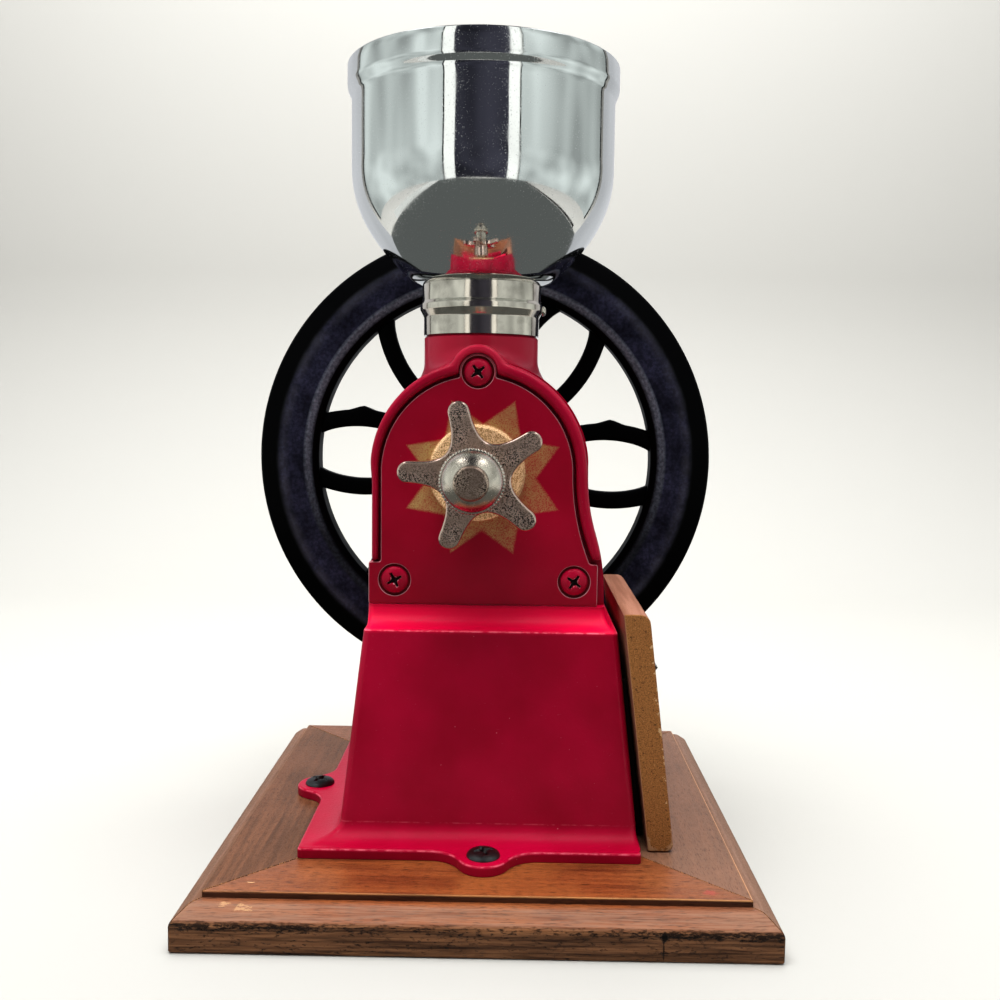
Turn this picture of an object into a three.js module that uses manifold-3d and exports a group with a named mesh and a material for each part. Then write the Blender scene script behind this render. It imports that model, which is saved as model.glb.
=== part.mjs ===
// Manual coffee grinder: an enamelled iron box mill on a mitred wooden base, with a chromed
// hopper, a star regulator in front, a flywheel with its crank knob behind and a side drawer.
// Millimetres, +Z up. x runs to the drawer side and y to the flywheel side.
// The origin is the centre of the underside of the base.
import * as THREE from 'three';
import { mergeVertices } from 'three/addons/utils/BufferGeometryUtils.js';
import Module from 'manifold-3d';

const wasm = await Module();
wasm.setup();

// Clearances
const fitGap = 0.3;
const boreGap = 0.2;
const seatGap = 0.1;
const runningGap = 0.1;
const cutOver = 2;

// Counts and angles
const coarseSides = 16;
const mediumSides = 24;
const fineSides = 40;
const wheelSides = 56;
const coveSteps = 3;
const quarterTurn = Math.PI / 2;
const degree = Math.PI / 180;

// Wooden base: four mitred rails round a centre panel, with a raised step
const baseMargin = 36.2;
const panelWidth = 99.4;
const baseThickness = 18;
const baseSideHeight = 10.5;
const baseLedgeHeight = 15.5;
const baseRoundWidth = 6;
const baseStepInset = 9;

// Foot flange of the casting, with three screw lugs
const footReach = 67.8;
const footRightReach = 59.9;
const flangeThickness = 4;
const flangeLedge = 1.8;
const lugReach = 13.2;
const lugRadius = 9.6;
const lugFlankRadius = 12;
const lugShiftX = 1.5;

// Tapered lower body, from the foot cove up to the shelf cove
const coveHeight = 6.5;
const taperHeight = 71.5;
const taperLowDepth = 57;
const taperHighDepth = 47;
const taperLowLeft = 53.5;
const taperHighLeft = 46.2;
const taperLowRight = 58.9;
const taperHighRight = 51.5;
const shelfHeight = 8;
const bodyWall = 5;
const bodyRoof = 8;

// Arched housing round the grinding chamber
const shaftX = -3.5;
const shaftAboveShelf = 52;
const housingFront = 37.2;
const housingBack = 38;
const housingLeft = 41;
const housingLeftStep = 1.1;
const housingLeftStepFall = 3;
const housingRight = 43.4;
const housingFlare = 7.2;
const archRadius = 42.4;
const archRise = 1.5;
const chamberRadius = 29;
const chamberShoulder = 3.5;
const chamberBack = 24;
const chuteHalfWidth = 22;
const chuteFront = 30;
const chuteBack = 6;
const rearBossRadius = 16;
const rearBossLength = 14;

// Neck that carries the hopper
const neckRadius = 23.6;
const neckAboveShaft = 54.2;
const spigotRadius = 22.2;
const throatRadius = 17;

// Front cover plate
const plateFront = 36;
const plateThickness = 4.4;
const plateGroove = 1.4;
const plateArchRadius = 37.3;
const plateEarLeft = 42.1;
const plateEarRight = 47.6;
const plateEarHeight = 16.6;
const plateEarRightStep = 3.2;
const plateTabRadius = 9.2;
const plateBossRadius = 18.4;
const plateBossHeight = 5;
const innerBossRadius = 14;
const innerBossLength = 8;

// Cover screws
const topScrewRise = 38.8;
const lowScrewDrop = 42.4;
const lowScrewLeft = 31.9;
const lowScrewRight = 38.4;
const coverHeadRadius = 5.4;
const coverHeadHeight = 2.8;
const coverHeadSink = 1.2;
const coverHeadGap = 1.1;
const coverShankRadius = 2.5;
const coverShankLength = 15;

// Base wood screws
const baseHeadRadius = 6.2;
const baseHeadHeight = 3;
const baseShankRadius = 2.1;
const baseShankLength = 15;

// Hopper and its collar
const bowlHeight = 86.8;
const bowlWall = 1;
const bowlSeatRadius = 27;
const bowlBodyRadius = 53.5;
const bowlCurveHeight = 46;
const bowlCurvePower = 2.15;
const bowlCurveSteps = 7;
const bowlFlareHeight = 5.5;
const bowlRimRadius = 55.2;
const bowlRimHeight = 9;
const collarHeight = 21;
const collarWall = 1.2;
const collarLowRadius = 23.9;
const collarHighRadius = 24.5;
const collarBeadSwell = 1.1;
const collarBeadHeight = 5.6;
const collarBeadSteps = 4;
const collarLowBand = 8;
const collarHeadRadius = 2.1;
const collarHeadHeight = 1.6;
const collarShankRadius = 1.3;
const collarShankLength = 4.5;

// Shaft, burrs, bushes and spring
const shaftRadius = 6;
const shaftFrontEnd = 27.3;
const shaftRearEnd = 96;
const bushWall = 3;
const feedBushProud = 2;
const rearBushFlangeRadius = 12;
const rearBushFlange = 2.2;
const ringBurrLength = 13.5;
const ringBurrWideRadius = 24.4;
const ringBurrNarrowRadius = 17.6;
const burrSeat = 7.8;
const burrMeshGap = 0.9;
const burrToothDepth = 0.8;
const burrTeeth = 24;
const augerLength = 18;
const augerCoreRadius = 8.5;
const augerFlightRadius = 14.5;
const augerFlightThickness = 3;
const augerTurns = 1.25;
const augerSteps = 20;
const springWireRadius = 0.9;
const springCoilRadius = 9.6;
const springTurns = 4;
const springStepsPerTurn = 12;
const springSides = 6;

// Regulator: feed screw, star wheel and lock nut
const thrustBallRadius = 2.5;
const thrustBallSides = 8;
const feedScrewRadius = 6;
const feedScrewTip = 95.5;
const feedScrewDome = 2;
const starFront = 63;
const starThickness = 5.6;
const starBevel = 0.7;
const starTipRadius = 28.3;
const starLobeRadius = 4;
const starWebPull = 14.1;
const starLobes = 5;
const starCurveSteps = 6;
const starTurn = 32.3 * degree;
const starHubRadius = 10;
const starHubStandOff = 1.6;
const starPinRadius = 1.4;
const nutNeckRadius = 8.6;
const nutNeckLength = 15;
const nutSkirtRadius = 11.6;
const nutSkirtLength = 6.4;
const nutKnurlDepth = 0.55;
const nutKnurls = 36;
const nutShoulderRadius = 10.6;
const nutDomeLength = 8.6;
const nutDomeSteps = 4;

// Flywheel
const wheelRadius = 108.5;
const wheelPlane = 70;
const rimHalfWidth = 9;
const rimOuterHalfWidth = 5;
const rimCorner = 1.2;
const rimOuterSlope = 10;
const rimFaceWidth = 11;
const rimInnerSlope = 7.5;
const rimInnerHalfWidth = 5.5;
const spokePairs = 6;
const wheelTurn = -2.5 * degree;
const spokeWidth = 8.2;
const spokeHalfThickness = 4;
const spokeArcRadius = 58;
const spokeApexRadius = 60;
const spokeApexOffset = 16.6;
const spokeArcSteps = 7;
const hubRadius = 17;
const hubRunningGap = 2;
const hubLength = 25;
const keyWidth = 4;
const keyHeight = 4.4;
const keyLength = 18;
const washerRadius = 11;
const washerThickness = 2;
const hexNutAcross = 19;
const hexNutHeight = 7.5;
const hexSides = 6;

// Crank spindle and knob
const crankInset = 13.5;
const crankBossRadius = 11;
const crankBossProud = 2;
const spindleRootRadius = 5;
const spindleRootLength = 15;
const spindleCollarRadius = 8;
const spindleCollarLength = 3.5;
const spindleRadius = 4;
const knobLength = 54;
const knobNeckRadius = 9;
const knobBellyRadius = 14.5;
const knobEndRadius = 10.5;
const knobEdge = 1;
const knobSteps = 7;
const knobPlay = 0.3;
const knobCapRadius = 6.5;
const knobCapHeight = 2.6;
const knobCapShankRadius = 2;
const knobCapShankLength = 8;

// Drawer
const drawerCentreY = -8;
const bayWidth = 70;
const bayHeight = 72;
const drawerSideGap = 1;
const drawerBack = 38;
const drawerDepth = 62;
const drawerWall = 5;
const drawerFloor = 3;
const slabFront = 57;
const slabBack = 38;
const slabThickness = 9.8;
const slabLowX = 63.6;
const slabHighX = 52.4;
const slabHeight = 91;
const slabRound = 2.4;
const slabRoundSteps = 3;
const pullWidth = 26;
const pullThickness = 1.2;
const pullLeafHeight = 15;
const pullBendRadius = 1.8;
const pullLipLength = 1.8;
const pullRise = 47;
const pullBendSteps = 5;
const pullScrewSpread = 16;
const pullScrewRise = 6;
const pullHeadRadius = 2;
const pullHeadHeight = 1.2;
const pullShankRadius = 0.9;
const pullShankLength = 5;

// Shares of the piece that carries them
const flareLowShare = 0.42;
const flareHighShare = 0.5;
const slotBarShare = 0.13;
const slotArmShare = 0.55;
const slotDepthShare = 0.6;
const headEdgeShare = 0.35;
const headRoundShare = 0.72;
const headRoundHeightShare = 0.85;
const knobBellyShare = 0.62;

// Heights and places that follow from the sizes above
const footTop = baseThickness + flangeThickness;
const coveTop = footTop + coveHeight;
const taperTop = coveTop + taperHeight;
const shelfTop = taperTop + shelfHeight;
const shaftZ = shelfTop + shaftAboveShelf;
const neckTop = shaftZ + neckAboveShaft;
const spigotTop = neckTop + collarHeight;
const plateBack = plateFront - plateThickness;
const recessFloor = plateBack - fitGap;
const bossFront = plateFront + plateBossHeight;
const innerBossEnd = innerBossLength - plateBack;
const bayTop = baseThickness + bayHeight;
const hollowTop = taperTop - bodyRoof;
const rearBossEnd = housingBack + rearBossLength;
const bushRadius = shaftRadius + bushWall;
const slabLow = baseThickness + fitGap;

// Finishes
const enamel = new THREE.MeshStandardMaterial({ color: 0x96091f, roughness: 0.38, metalness: 0 });
const blackIron = new THREE.MeshStandardMaterial({ color: 0x17181d, roughness: 0.5, metalness: 0.1 });
const chrome = new THREE.MeshStandardMaterial({ color: 0xd9dbdc, roughness: 0.06, metalness: 1 });
const nickel = new THREE.MeshStandardMaterial({ color: 0xb4aca0, roughness: 0.3, metalness: 1 });
const steel = new THREE.MeshStandardMaterial({ color: 0x8d8e90, roughness: 0.35, metalness: 1 });
const darkSteel = new THREE.MeshStandardMaterial({ color: 0x2e2d2c, roughness: 0.45, metalness: 0.9 });
const bronze = new THREE.MeshStandardMaterial({ color: 0xa87b45, roughness: 0.35, metalness: 1 });
const varnishedWood = new THREE.MeshStandardMaterial({ color: 0x7b4324, roughness: 0.35, metalness: 0 });
const fibreboard = new THREE.MeshStandardMaterial({ color: 0xa8794d, roughness: 0.8, metalness: 0 });
const plywood = new THREE.MeshStandardMaterial({ color: 0xc09a6b, roughness: 0.7, metalness: 0 });
const turnedWood = new THREE.MeshStandardMaterial({ color: 0x5b3019, roughness: 0.4, metalness: 0 });

const grinder = new THREE.Group();

// Turns a closed geometry into a solid: seams merged, no flat triangles, faces outwards
function solidOf(geometry) {
  const bare = geometry.clone();
  bare.deleteAttribute('normal');
  bare.deleteAttribute('uv');
  const merged = mergeVertices(bare);
  const points = merged.attributes.position.array;
  const corners = merged.index.array;
  const kept = [];
  let volume = 0;
  for (let i = 0; i < corners.length; i += 3) {
    const [a, b, c] = [corners[i], corners[i + 1], corners[i + 2]];
    if (a === b || b === c || c === a) continue;
    kept.push(a, b, c);
    const [va, vb, vc] = [a, b, c].map((v) => new THREE.Vector3().fromArray(points, 3 * v));
    volume += va.dot(vb.cross(vc));
  }
  if (volume < 0) kept.reverse();
  const mesh = new wasm.Mesh({
    numProp: 3,
    vertProperties: new Float32Array(points),
    triVerts: new Uint32Array(kept),
  });
  return new wasm.Manifold(mesh);
}

// Adds a named mesh of a solid to the grinder
function addPiece(name, solid, material) {
  const { vertProperties, triVerts } = solid.getMesh();
  const geometry = new THREE.BufferGeometry();
  geometry.setAttribute('position', new THREE.BufferAttribute(new Float32Array(vertProperties), 3));
  geometry.setIndex(new THREE.BufferAttribute(new Uint32Array(triVerts), 1));
  geometry.computeVertexNormals();
  const mesh = new THREE.Mesh(geometry, material);
  mesh.name = name;
  grinder.add(mesh);
}

const union = (solids) => wasm.Manifold.union(solids);

// Box between two corners
function block(low, high) {
  const size = high.map((value, axis) => value - low[axis]);
  const geometry = new THREE.BoxGeometry(...size);
  geometry.translate(...high.map((value, axis) => (value + low[axis]) / 2));
  return solidOf(geometry);
}

// Round rod along y or z between two ends, its axis through the other two places
function rodY(radius, start, end, x, z, sides = mediumSides) {
  const geometry = new THREE.CylinderGeometry(radius, radius, end - start, sides);
  geometry.translate(x, (start + end) / 2, z);
  return solidOf(geometry);
}

function rodZ(radius, start, end, x, y, sides = mediumSides) {
  const geometry = new THREE.CylinderGeometry(radius, radius, end - start, sides);
  geometry.rotateX(quarterTurn);
  geometry.translate(x, y, (start + end) / 2);
  return solidOf(geometry);
}

// Piece turned about y from a profile of [radius, place]; off the axis the profile closes on itself
function turnedY(profile, x, z, sides = mediumSides) {
  const loop = profile[0][0] === 0 ? profile : [...profile, profile[0]];
  const points = loop.map(([radius, place]) => new THREE.Vector2(radius, place));
  const geometry = new THREE.LatheGeometry(points, sides);
  geometry.translate(x, 0, z);
  return solidOf(geometry);
}

// The same about the vertical axis of the neck
function turnedOnNeck(profile, sides = fineSides) {
  return turnedY(profile, 0, 0, sides).rotate([90, 0, 0]).translate([shaftX, 0, 0]);
}

// Outline in x and z, pushed along y from start to end, with an optional bevel round both faces
function slabY(shape, start, end, curveSegments, bevel = 0) {
  const geometry = new THREE.ExtrudeGeometry(shape, {
    depth: end - start - 2 * bevel,
    bevelEnabled: bevel > 0,
    bevelThickness: bevel,
    bevelSize: bevel,
    bevelOffset: -bevel,
    bevelSegments: 1,
    curveSegments,
  });
  geometry.rotateX(quarterTurn);
  geometry.translate(0, end - bevel, 0);
  return solidOf(geometry);
}

// Outline in x and y, pushed up from start to end
function slabZ(shape, start, end, curveSegments) {
  const geometry = new THREE.ExtrudeGeometry(shape, {
    depth: end - start,
    bevelEnabled: false,
    curveSegments,
  });
  geometry.translate(0, 0, start);
  return solidOf(geometry);
}

// Skin through rings of points with equal counts; face is the ring laid out flat, to fill the ends
function loft(rings, face) {
  const count = face.length;
  const lastStart = (rings.length - 1) * count;
  const indices = [];
  for (let start = 0; start < lastStart; start += count) {
    for (let i = 0; i < count; i += 1) {
      const next = (i + 1) % count;
      const [a, b] = [start + i, start + next];
      indices.push(a, b, b + count, a, b + count, a + count);
    }
  }
  const flat = face.map(([u, v]) => new THREE.Vector2(u, v));
  for (const triangle of THREE.ShapeUtils.triangulateShape(flat, [])) {
    const [a, b, c] = [...triangle].sort((p, q) => p - q);
    indices.push(c, b, a, lastStart + a, lastStart + b, lastStart + c);
  }
  const geometry = new THREE.BufferGeometry();
  geometry.setAttribute('position', new THREE.BufferAttribute(new Float32Array(rings.flat(2)), 3));
  geometry.setIndex(indices);
  return solidOf(geometry);
}

// Closed profile of a sheet: the outer line, then the same line a wall inwards and back
function sheetProfile(outer, wall) {
  const inner = outer.map(([radius, place], i) => {
    const [r0, h0] = outer[Math.max(i - 1, 0)];
    const [r1, h1] = outer[Math.min(i + 1, outer.length - 1)];
    const length = Math.hypot(r1 - r0, h1 - h0);
    return [radius - wall * (h1 - h0) / length, place + wall * (r1 - r0) / length];
  });
  return [...outer, ...inner.reverse()];
}

// Level rectangle at a height, given by how far it reaches on its four sides
function levelRing({ left, right, front, back }, height) {
  return [
    [-left, -front, height],
    [right, -front, height],
    [right, back, height],
    [-left, back, height],
  ];
}

// Rings of a hollow cove between two level rectangles: level at its foot and steep at its top
function coveRings(low, lowHeight, high, highHeight) {
  const rings = [];
  for (let step = 0; step <= coveSteps; step += 1) {
    const angle = quarterTurn * step / coveSteps;
    const reach = {};
    for (const side of Object.keys(low)) {
      reach[side] = low[side] + (high[side] - low[side]) * Math.sin(angle);
    }
    rings.push(levelRing(reach, lowHeight + (highHeight - lowHeight) * (1 - Math.cos(angle))));
  }
  return rings;
}

function levelLoft(rings) {
  return loft(rings, rings[0].map(([x, y]) => [x, y]));
}

// Round-headed screw with a cross slot: the head stands up along y from 0, the shank goes down
function crossScrew(headRadius, headHeight, shankRadius, shankLength) {
  const body = turnedY([
    [0, -shankLength],
    [shankRadius, -shankLength],
    [shankRadius, 0],
    [headRadius, 0],
    [headRadius, headHeight * headEdgeShare],
    [headRadius * headRoundShare, headHeight * headRoundHeightShare],
    [0, headHeight],
  ], 0, 0, coarseSides);
  const bar = headRadius * slotBarShare;
  const arm = headRadius * slotArmShare;
  const floor = headHeight * (1 - slotDepthShare);
  const top = headHeight + cutOver;
  const slot = block([-arm, floor, -bar], [arm, top, bar]).add(block([-bar, floor, -arm], [bar, top, arm]));
  return body.subtract(slot);
}

// Base rails: one moulded section with its ends cut at 45 degrees, set four times round the panel
const baseHalf = footReach + baseMargin;
const panelHalf = panelWidth / 2;
const railWidth = baseHalf - panelHalf - fitGap;
const railSection = [[0, 0], [0, baseSideHeight]];
for (let step = 1; step <= coveSteps; step += 1) {
  const angle = quarterTurn * step / coveSteps;
  railSection.push([
    baseRoundWidth * (1 - Math.cos(angle)),
    baseSideHeight + (baseLedgeHeight - baseSideHeight) * Math.sin(angle),
  ]);
}
railSection.push([baseStepInset, baseLedgeHeight]);
railSection.push([baseStepInset, baseThickness]);
railSection.push([railWidth, baseThickness]);
railSection.push([railWidth, 0]);

const mitreGap = fitGap / Math.SQRT2;
const railEnds = [-1, 1].map((side) => railSection.map(([inset, height]) => [
  side * (baseHalf - inset - mitreGap),
  inset - baseHalf,
  height,
]));
const frontRail = loft(railEnds, railSection);

const lugScrewReach = footReach + lugReach - lugRadius;
const baseScrews = [
  { name: 'base_screw_front', x: lugShiftX, y: -lugScrewReach },
  { name: 'base_screw_left', x: -lugScrewReach, y: 0 },
  { name: 'base_screw_rear', x: lugShiftX, y: lugScrewReach },
];
const baseScrewEnd = footTop - baseShankLength;
const baseScrewHoles = union(baseScrews.map(({ x, y }) => rodZ(
  baseShankRadius + boreGap,
  baseScrewEnd - boreGap,
  footTop + cutOver,
  x,
  y,
  coarseSides,
)));

['base_rail_front', 'base_rail_right', 'base_rail_rear', 'base_rail_left'].forEach((name, turn) => {
  addPiece(name, frontRail.rotate([0, 0, 90 * turn]).subtract(baseScrewHoles), varnishedWood);
});

addPiece(
  'base_centre_panel',
  block([-panelHalf, -panelHalf, 0], [panelHalf, panelHalf, baseThickness]),
  plywood,
);

// Casting, foot: a lug is a round nose with two hollow flanks that run out on the flange edge
const lugNose = lugReach - lugRadius;
const lugSpread = Math.sqrt((lugRadius + lugFlankRadius) ** 2 - (lugFlankRadius - lugNose) ** 2);
const lugAngle = Math.atan2(lugFlankRadius - lugNose, lugSpread);
const lugShape = new THREE.Shape();
lugShape.moveTo(-lugSpread, -lugRadius);
lugShape.lineTo(-lugSpread, 0);
lugShape.absarc(-lugSpread, lugFlankRadius, lugFlankRadius, -quarterTurn, -lugAngle, false);
lugShape.absarc(0, lugNose, lugRadius, Math.PI - lugAngle, lugAngle, true);
lugShape.absarc(
  lugSpread, lugFlankRadius, lugFlankRadius,
  Math.PI + lugAngle, Math.PI + quarterTurn, false,
);
lugShape.lineTo(lugSpread, -lugRadius);
const lug = slabZ(lugShape, baseThickness, footTop, spokeArcSteps);

const footPlan = { left: footReach, right: footRightReach, front: footReach, back: footReach };
const coveReach = footReach - flangeLedge;
const covePlan = { left: coveReach, right: footRightReach, front: coveReach, back: coveReach };
const taperLowPlan = {
  left: taperLowLeft,
  right: taperLowRight,
  front: taperLowDepth,
  back: taperLowDepth,
};
const taperHighPlan = {
  left: taperHighLeft,
  right: taperHighRight,
  front: taperHighDepth,
  back: taperHighDepth,
};
const shelfPlan = {
  left: housingLeft + housingLeftStep - shaftX,
  right: housingRight + housingFlare + shaftX,
  front: housingFront,
  back: housingBack,
};
const foot = union([
  levelLoft([levelRing(footPlan, baseThickness), levelRing(footPlan, footTop)]),
  lug.rotate([0, 0, 180]).translate([lugShiftX, -footReach, 0]),
  lug.rotate([0, 0, 90]).translate([-footReach, 0, 0]),
  lug.translate([lugShiftX, footReach, 0]),
]);
const lowerBody = levelLoft([
  levelRing(covePlan, baseThickness),
  ...coveRings(covePlan, footTop, taperLowPlan, coveTop),
  ...coveRings(taperHighPlan, taperTop, shelfPlan, shelfTop),
]);

// Casting, housing: an arch on straight sides about the shaft, the right side flared at its foot
const archCentre = (housingRight - housingLeft) / 2;
const archHalf = (housingRight + housingLeft) / 2;
const springAngle = Math.acos(archHalf / archRadius);
const housingFoot = -shaftAboveShelf;
const housingShape = new THREE.Shape();
housingShape.moveTo(-housingLeft - housingLeftStep, housingFoot - cutOver);
housingShape.lineTo(housingRight + housingFlare, housingFoot - cutOver);
housingShape.lineTo(housingRight + housingFlare, housingFoot);
housingShape.bezierCurveTo(
  housingRight + housingFlare, housingFoot * flareLowShare,
  housingRight, housingFoot * flareHighShare,
  housingRight, archRise,
);
housingShape.absarc(archCentre, archRise, archRadius, springAngle, Math.PI - springAngle, false);
const earTop = plateEarHeight - shaftAboveShelf;
housingShape.lineTo(-housingLeft, earTop);
housingShape.lineTo(-housingLeft - housingLeftStep, earTop - housingLeftStepFall);
const housing = slabY(housingShape, -housingFront, housingBack, coarseSides);
const neck = rodZ(neckRadius, shaftZ, neckTop, shaftX, 0, fineSides);
const spigot = rodZ(spigotRadius, shaftZ, spigotTop, shaftX, 0, fineSides);
const rearBoss = rodY(rearBossRadius, 0, rearBossEnd, shaftX, shaftZ);
const topBoss = rodY(plateTabRadius, -recessFloor, 0, shaftX, shaftZ + topScrewRise);

// Cover plate outline about the shaft, grown all round by a margin where it cuts its recess
function plateSheet(margin, front, back) {
  const radius = plateArchRadius + margin;
  const ear = earTop + margin;
  const low = housingFoot - margin;
  const shape = new THREE.Shape();
  shape.moveTo(-plateEarLeft - margin, low);
  shape.lineTo(plateEarRight + margin, low);
  shape.lineTo(plateEarRight + margin, ear);
  shape.lineTo(plateEarRight + margin - plateEarRightStep, ear);
  shape.quadraticCurveTo(radius, ear / 2, radius, 0);
  shape.absarc(0, 0, radius, 0, Math.PI, false);
  shape.lineTo(-radius, ear);
  shape.lineTo(-plateEarLeft - margin, ear);
  const tab = rodY(plateTabRadius + margin, -front, -back, 0, topScrewRise);
  return slabY(shape, -front, -back, coarseSides).add(tab).translate([shaftX, 0, shaftZ]);
}

const coverScrews = [
  { name: 'cover_screw_top', x: shaftX, z: shaftZ + topScrewRise },
  { name: 'cover_screw_left', x: shaftX - lowScrewLeft, z: shaftZ - lowScrewDrop },
  { name: 'cover_screw_right', x: shaftX + lowScrewRight, z: shaftZ - lowScrewDrop },
];
const coverSeat = plateFront - coverHeadSink;
const coverScrewHoles = union(coverScrews.map(({ x, z }) => rodY(
  coverShankRadius + boreGap,
  -housingFront - cutOver,
  coverShankLength - coverSeat + fitGap,
  x,
  z,
  coarseSides,
)));

// Collar screws lie radially in the bead of the collar, turned about the neck
const collarScrews = [
  { name: 'collar_screw_right', turn: 0 },
  { name: 'collar_screw_rear', turn: 110 },
];
const collarLow = neckTop + fitGap;
const beadLow = collarLow + collarLowBand;
const beadMiddle = beadLow + collarBeadHeight / 2;
const beadRadius = (collarLowRadius + collarHighRadius) / 2 + collarBeadSwell;
const aroundNeck = (solid, turn) => solid.rotate([0, 0, turn]).translate([shaftX, 0, beadMiddle]);
const collarScrewHole = rodY(
  collarShankRadius + boreGap,
  beadRadius - collarShankLength - fitGap,
  beadRadius + cutOver,
  0,
  0,
  coarseSides,
).rotate([0, 0, -90]);
const collarScrewHoles = union(collarScrews.map(({ turn }) => aroundNeck(collarScrewHole, turn)));

// Hollows of the casting: lower body, drawer mouth, chute, chamber, throat, bush bore and recess
const hollowLowPlan = {
  left: taperLowLeft - bodyWall,
  right: taperLowRight - bodyWall,
  front: taperLowDepth - bodyWall,
  back: taperLowDepth - bodyWall,
};
const hollowHighPlan = {
  left: taperHighLeft - bodyWall,
  right: taperHighRight - bodyWall,
  front: taperHighDepth - bodyWall,
  back: taperHighDepth - bodyWall,
};
const castingHollows = [
  levelLoft([
    levelRing(hollowLowPlan, baseThickness - cutOver),
    levelRing(hollowLowPlan, coveTop),
    levelRing(hollowHighPlan, hollowTop),
  ]),
  block(
    [0, drawerCentreY - bayWidth / 2, baseThickness - cutOver],
    [footRightReach + cutOver, drawerCentreY + bayWidth / 2, bayTop],
  ),
  block(
    [shaftX - chuteHalfWidth, -chuteFront, hollowTop - cutOver],
    [shaftX + chuteHalfWidth, -chuteBack, shaftZ],
  ),
  rodY(chamberRadius, -housingFront - cutOver, -burrSeat, shaftX, shaftZ, fineSides),
  rodY(chamberRadius - chamberShoulder, -burrSeat - cutOver, chamberBack, shaftX, shaftZ, fineSides),
  rodZ(throatRadius, shaftZ, spigotTop + cutOver, shaftX, 0),
  rodY(bushRadius + boreGap, 0, rearBossEnd + cutOver, shaftX, shaftZ),
  plateSheet(plateGroove, housingFront + cutOver, recessFloor),
];
const casting = union([
  foot,
  lowerBody,
  housing.translate([shaftX, 0, shaftZ]),
  neck,
  spigot,
  rearBoss,
  topBoss,
]);
addPiece(
  'body_casting',
  casting.subtract(union([...castingHollows, coverScrewHoles, baseScrewHoles, collarScrewHoles])),
  enamel,
);

// Wood screws through the foot lugs
const baseScrew = crossScrew(baseHeadRadius, baseHeadHeight, baseShankRadius, baseShankLength);
for (const { name, x, y } of baseScrews) {
  addPiece(name, baseScrew.rotate([90, 0, 0]).translate([x, y, footTop + seatGap]), darkSteel);
}

// Cover plate with its outer boss and the inner boss that holds the feed bush
const headRecesses = union(coverScrews.map(({ x, z }) => rodY(
  coverHeadRadius + coverHeadGap,
  -plateFront - cutOver,
  -coverSeat,
  x,
  z,
)));
addPiece(
  'front_plate',
  union([
    plateSheet(0, plateFront, plateBack),
    rodY(plateBossRadius, -bossFront, -plateBack, shaftX, shaftZ, fineSides),
    rodY(innerBossRadius, -plateFront, innerBossEnd, shaftX, shaftZ),
  ]).subtract(union([
    headRecesses,
    coverScrewHoles,
    rodY(bushRadius + boreGap, -bossFront - cutOver, innerBossEnd + cutOver, shaftX, shaftZ),
  ])),
  enamel,
);

const coverScrew = crossScrew(coverHeadRadius, coverHeadHeight, coverShankRadius, coverShankLength);
for (const { name, x, z } of coverScrews) {
  addPiece(name, coverScrew.rotate([180, 0, 0]).translate([x, -coverSeat - seatGap, z]), enamel);
}

// Hopper bowl: a spun shell with an open seat, a curved bottom, a straight wall and a flared rim
const bowlSeat = spigotTop + fitGap;
const bowlTop = bowlSeat + bowlHeight;
const bowlLine = [[throatRadius, bowlSeat], [bowlSeatRadius, bowlSeat]];
for (let step = 1; step <= bowlCurveSteps; step += 1) {
  const rise = step / bowlCurveSteps;
  bowlLine.push([
    bowlSeatRadius + (bowlBodyRadius - bowlSeatRadius) * (1 - (1 - rise) ** bowlCurvePower),
    bowlSeat + bowlCurveHeight * rise,
  ]);
}
bowlLine.push([bowlBodyRadius, bowlTop - bowlRimHeight - bowlFlareHeight]);
bowlLine.push([bowlRimRadius, bowlTop - bowlRimHeight]);
bowlLine.push([bowlRimRadius, bowlTop]);
addPiece('hopper_bowl', turnedOnNeck(sheetProfile(bowlLine, bowlWall)), chrome);

// Collar: a rolled ring with a bead, screwed to the spigot and carrying the bowl
const collarLine = [[collarLowRadius, collarLow]];
for (let step = 0; step <= collarBeadSteps; step += 1) {
  const rise = step / collarBeadSteps;
  collarLine.push([
    collarLowRadius + (collarHighRadius - collarLowRadius) * rise
      + collarBeadSwell * Math.sin(Math.PI * rise),
    beadLow + collarBeadHeight * rise,
  ]);
}
collarLine.push([collarHighRadius, spigotTop]);
addPiece(
  'hopper_collar',
  turnedOnNeck(sheetProfile(collarLine, collarWall)).subtract(collarScrewHoles),
  nickel,
);

const collarScrew = crossScrew(collarHeadRadius, collarHeadHeight, collarShankRadius, collarShankLength)
  .rotate([0, 0, -90])
  .translate([beadRadius + seatGap, 0, 0]);
for (const { name, turn } of collarScrews) {
  addPiece(name, aroundNeck(collarScrew, turn), nickel);
}

// Bushes of the shaft: the threaded feed bush in the cover plate and the flanged one behind
const boreRadius = shaftRadius + runningGap;
const feedBushFront = -bossFront - feedBushProud;
addPiece('feed_bush', turnedY([
  [boreRadius, feedBushFront],
  [bushRadius, feedBushFront],
  [bushRadius, innerBossEnd],
  [boreRadius, innerBossEnd],
], shaftX, shaftZ), bronze);

const rearFlangeFront = rearBossEnd + fitGap;
const rearBushEnd = rearFlangeFront + rearBushFlange;
addPiece('rear_bush', turnedY([
  [boreRadius, chamberBack],
  [bushRadius, chamberBack],
  [bushRadius, rearFlangeFront],
  [rearBushFlangeRadius, rearFlangeFront],
  [rearBushFlangeRadius, rearBushEnd],
  [boreRadius, rearBushEnd],
], shaftX, shaftZ), bronze);

// Shaft with its keyway
const hubFront = rearBushEnd + hubRunningGap;
const hubBack = hubFront + hubLength;
const keyFront = hubFront + (hubLength - keyLength) / 2;
const keyLow = shaftRadius - keyHeight / 2;
const fixedBore = shaftRadius + fitGap;

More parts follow.
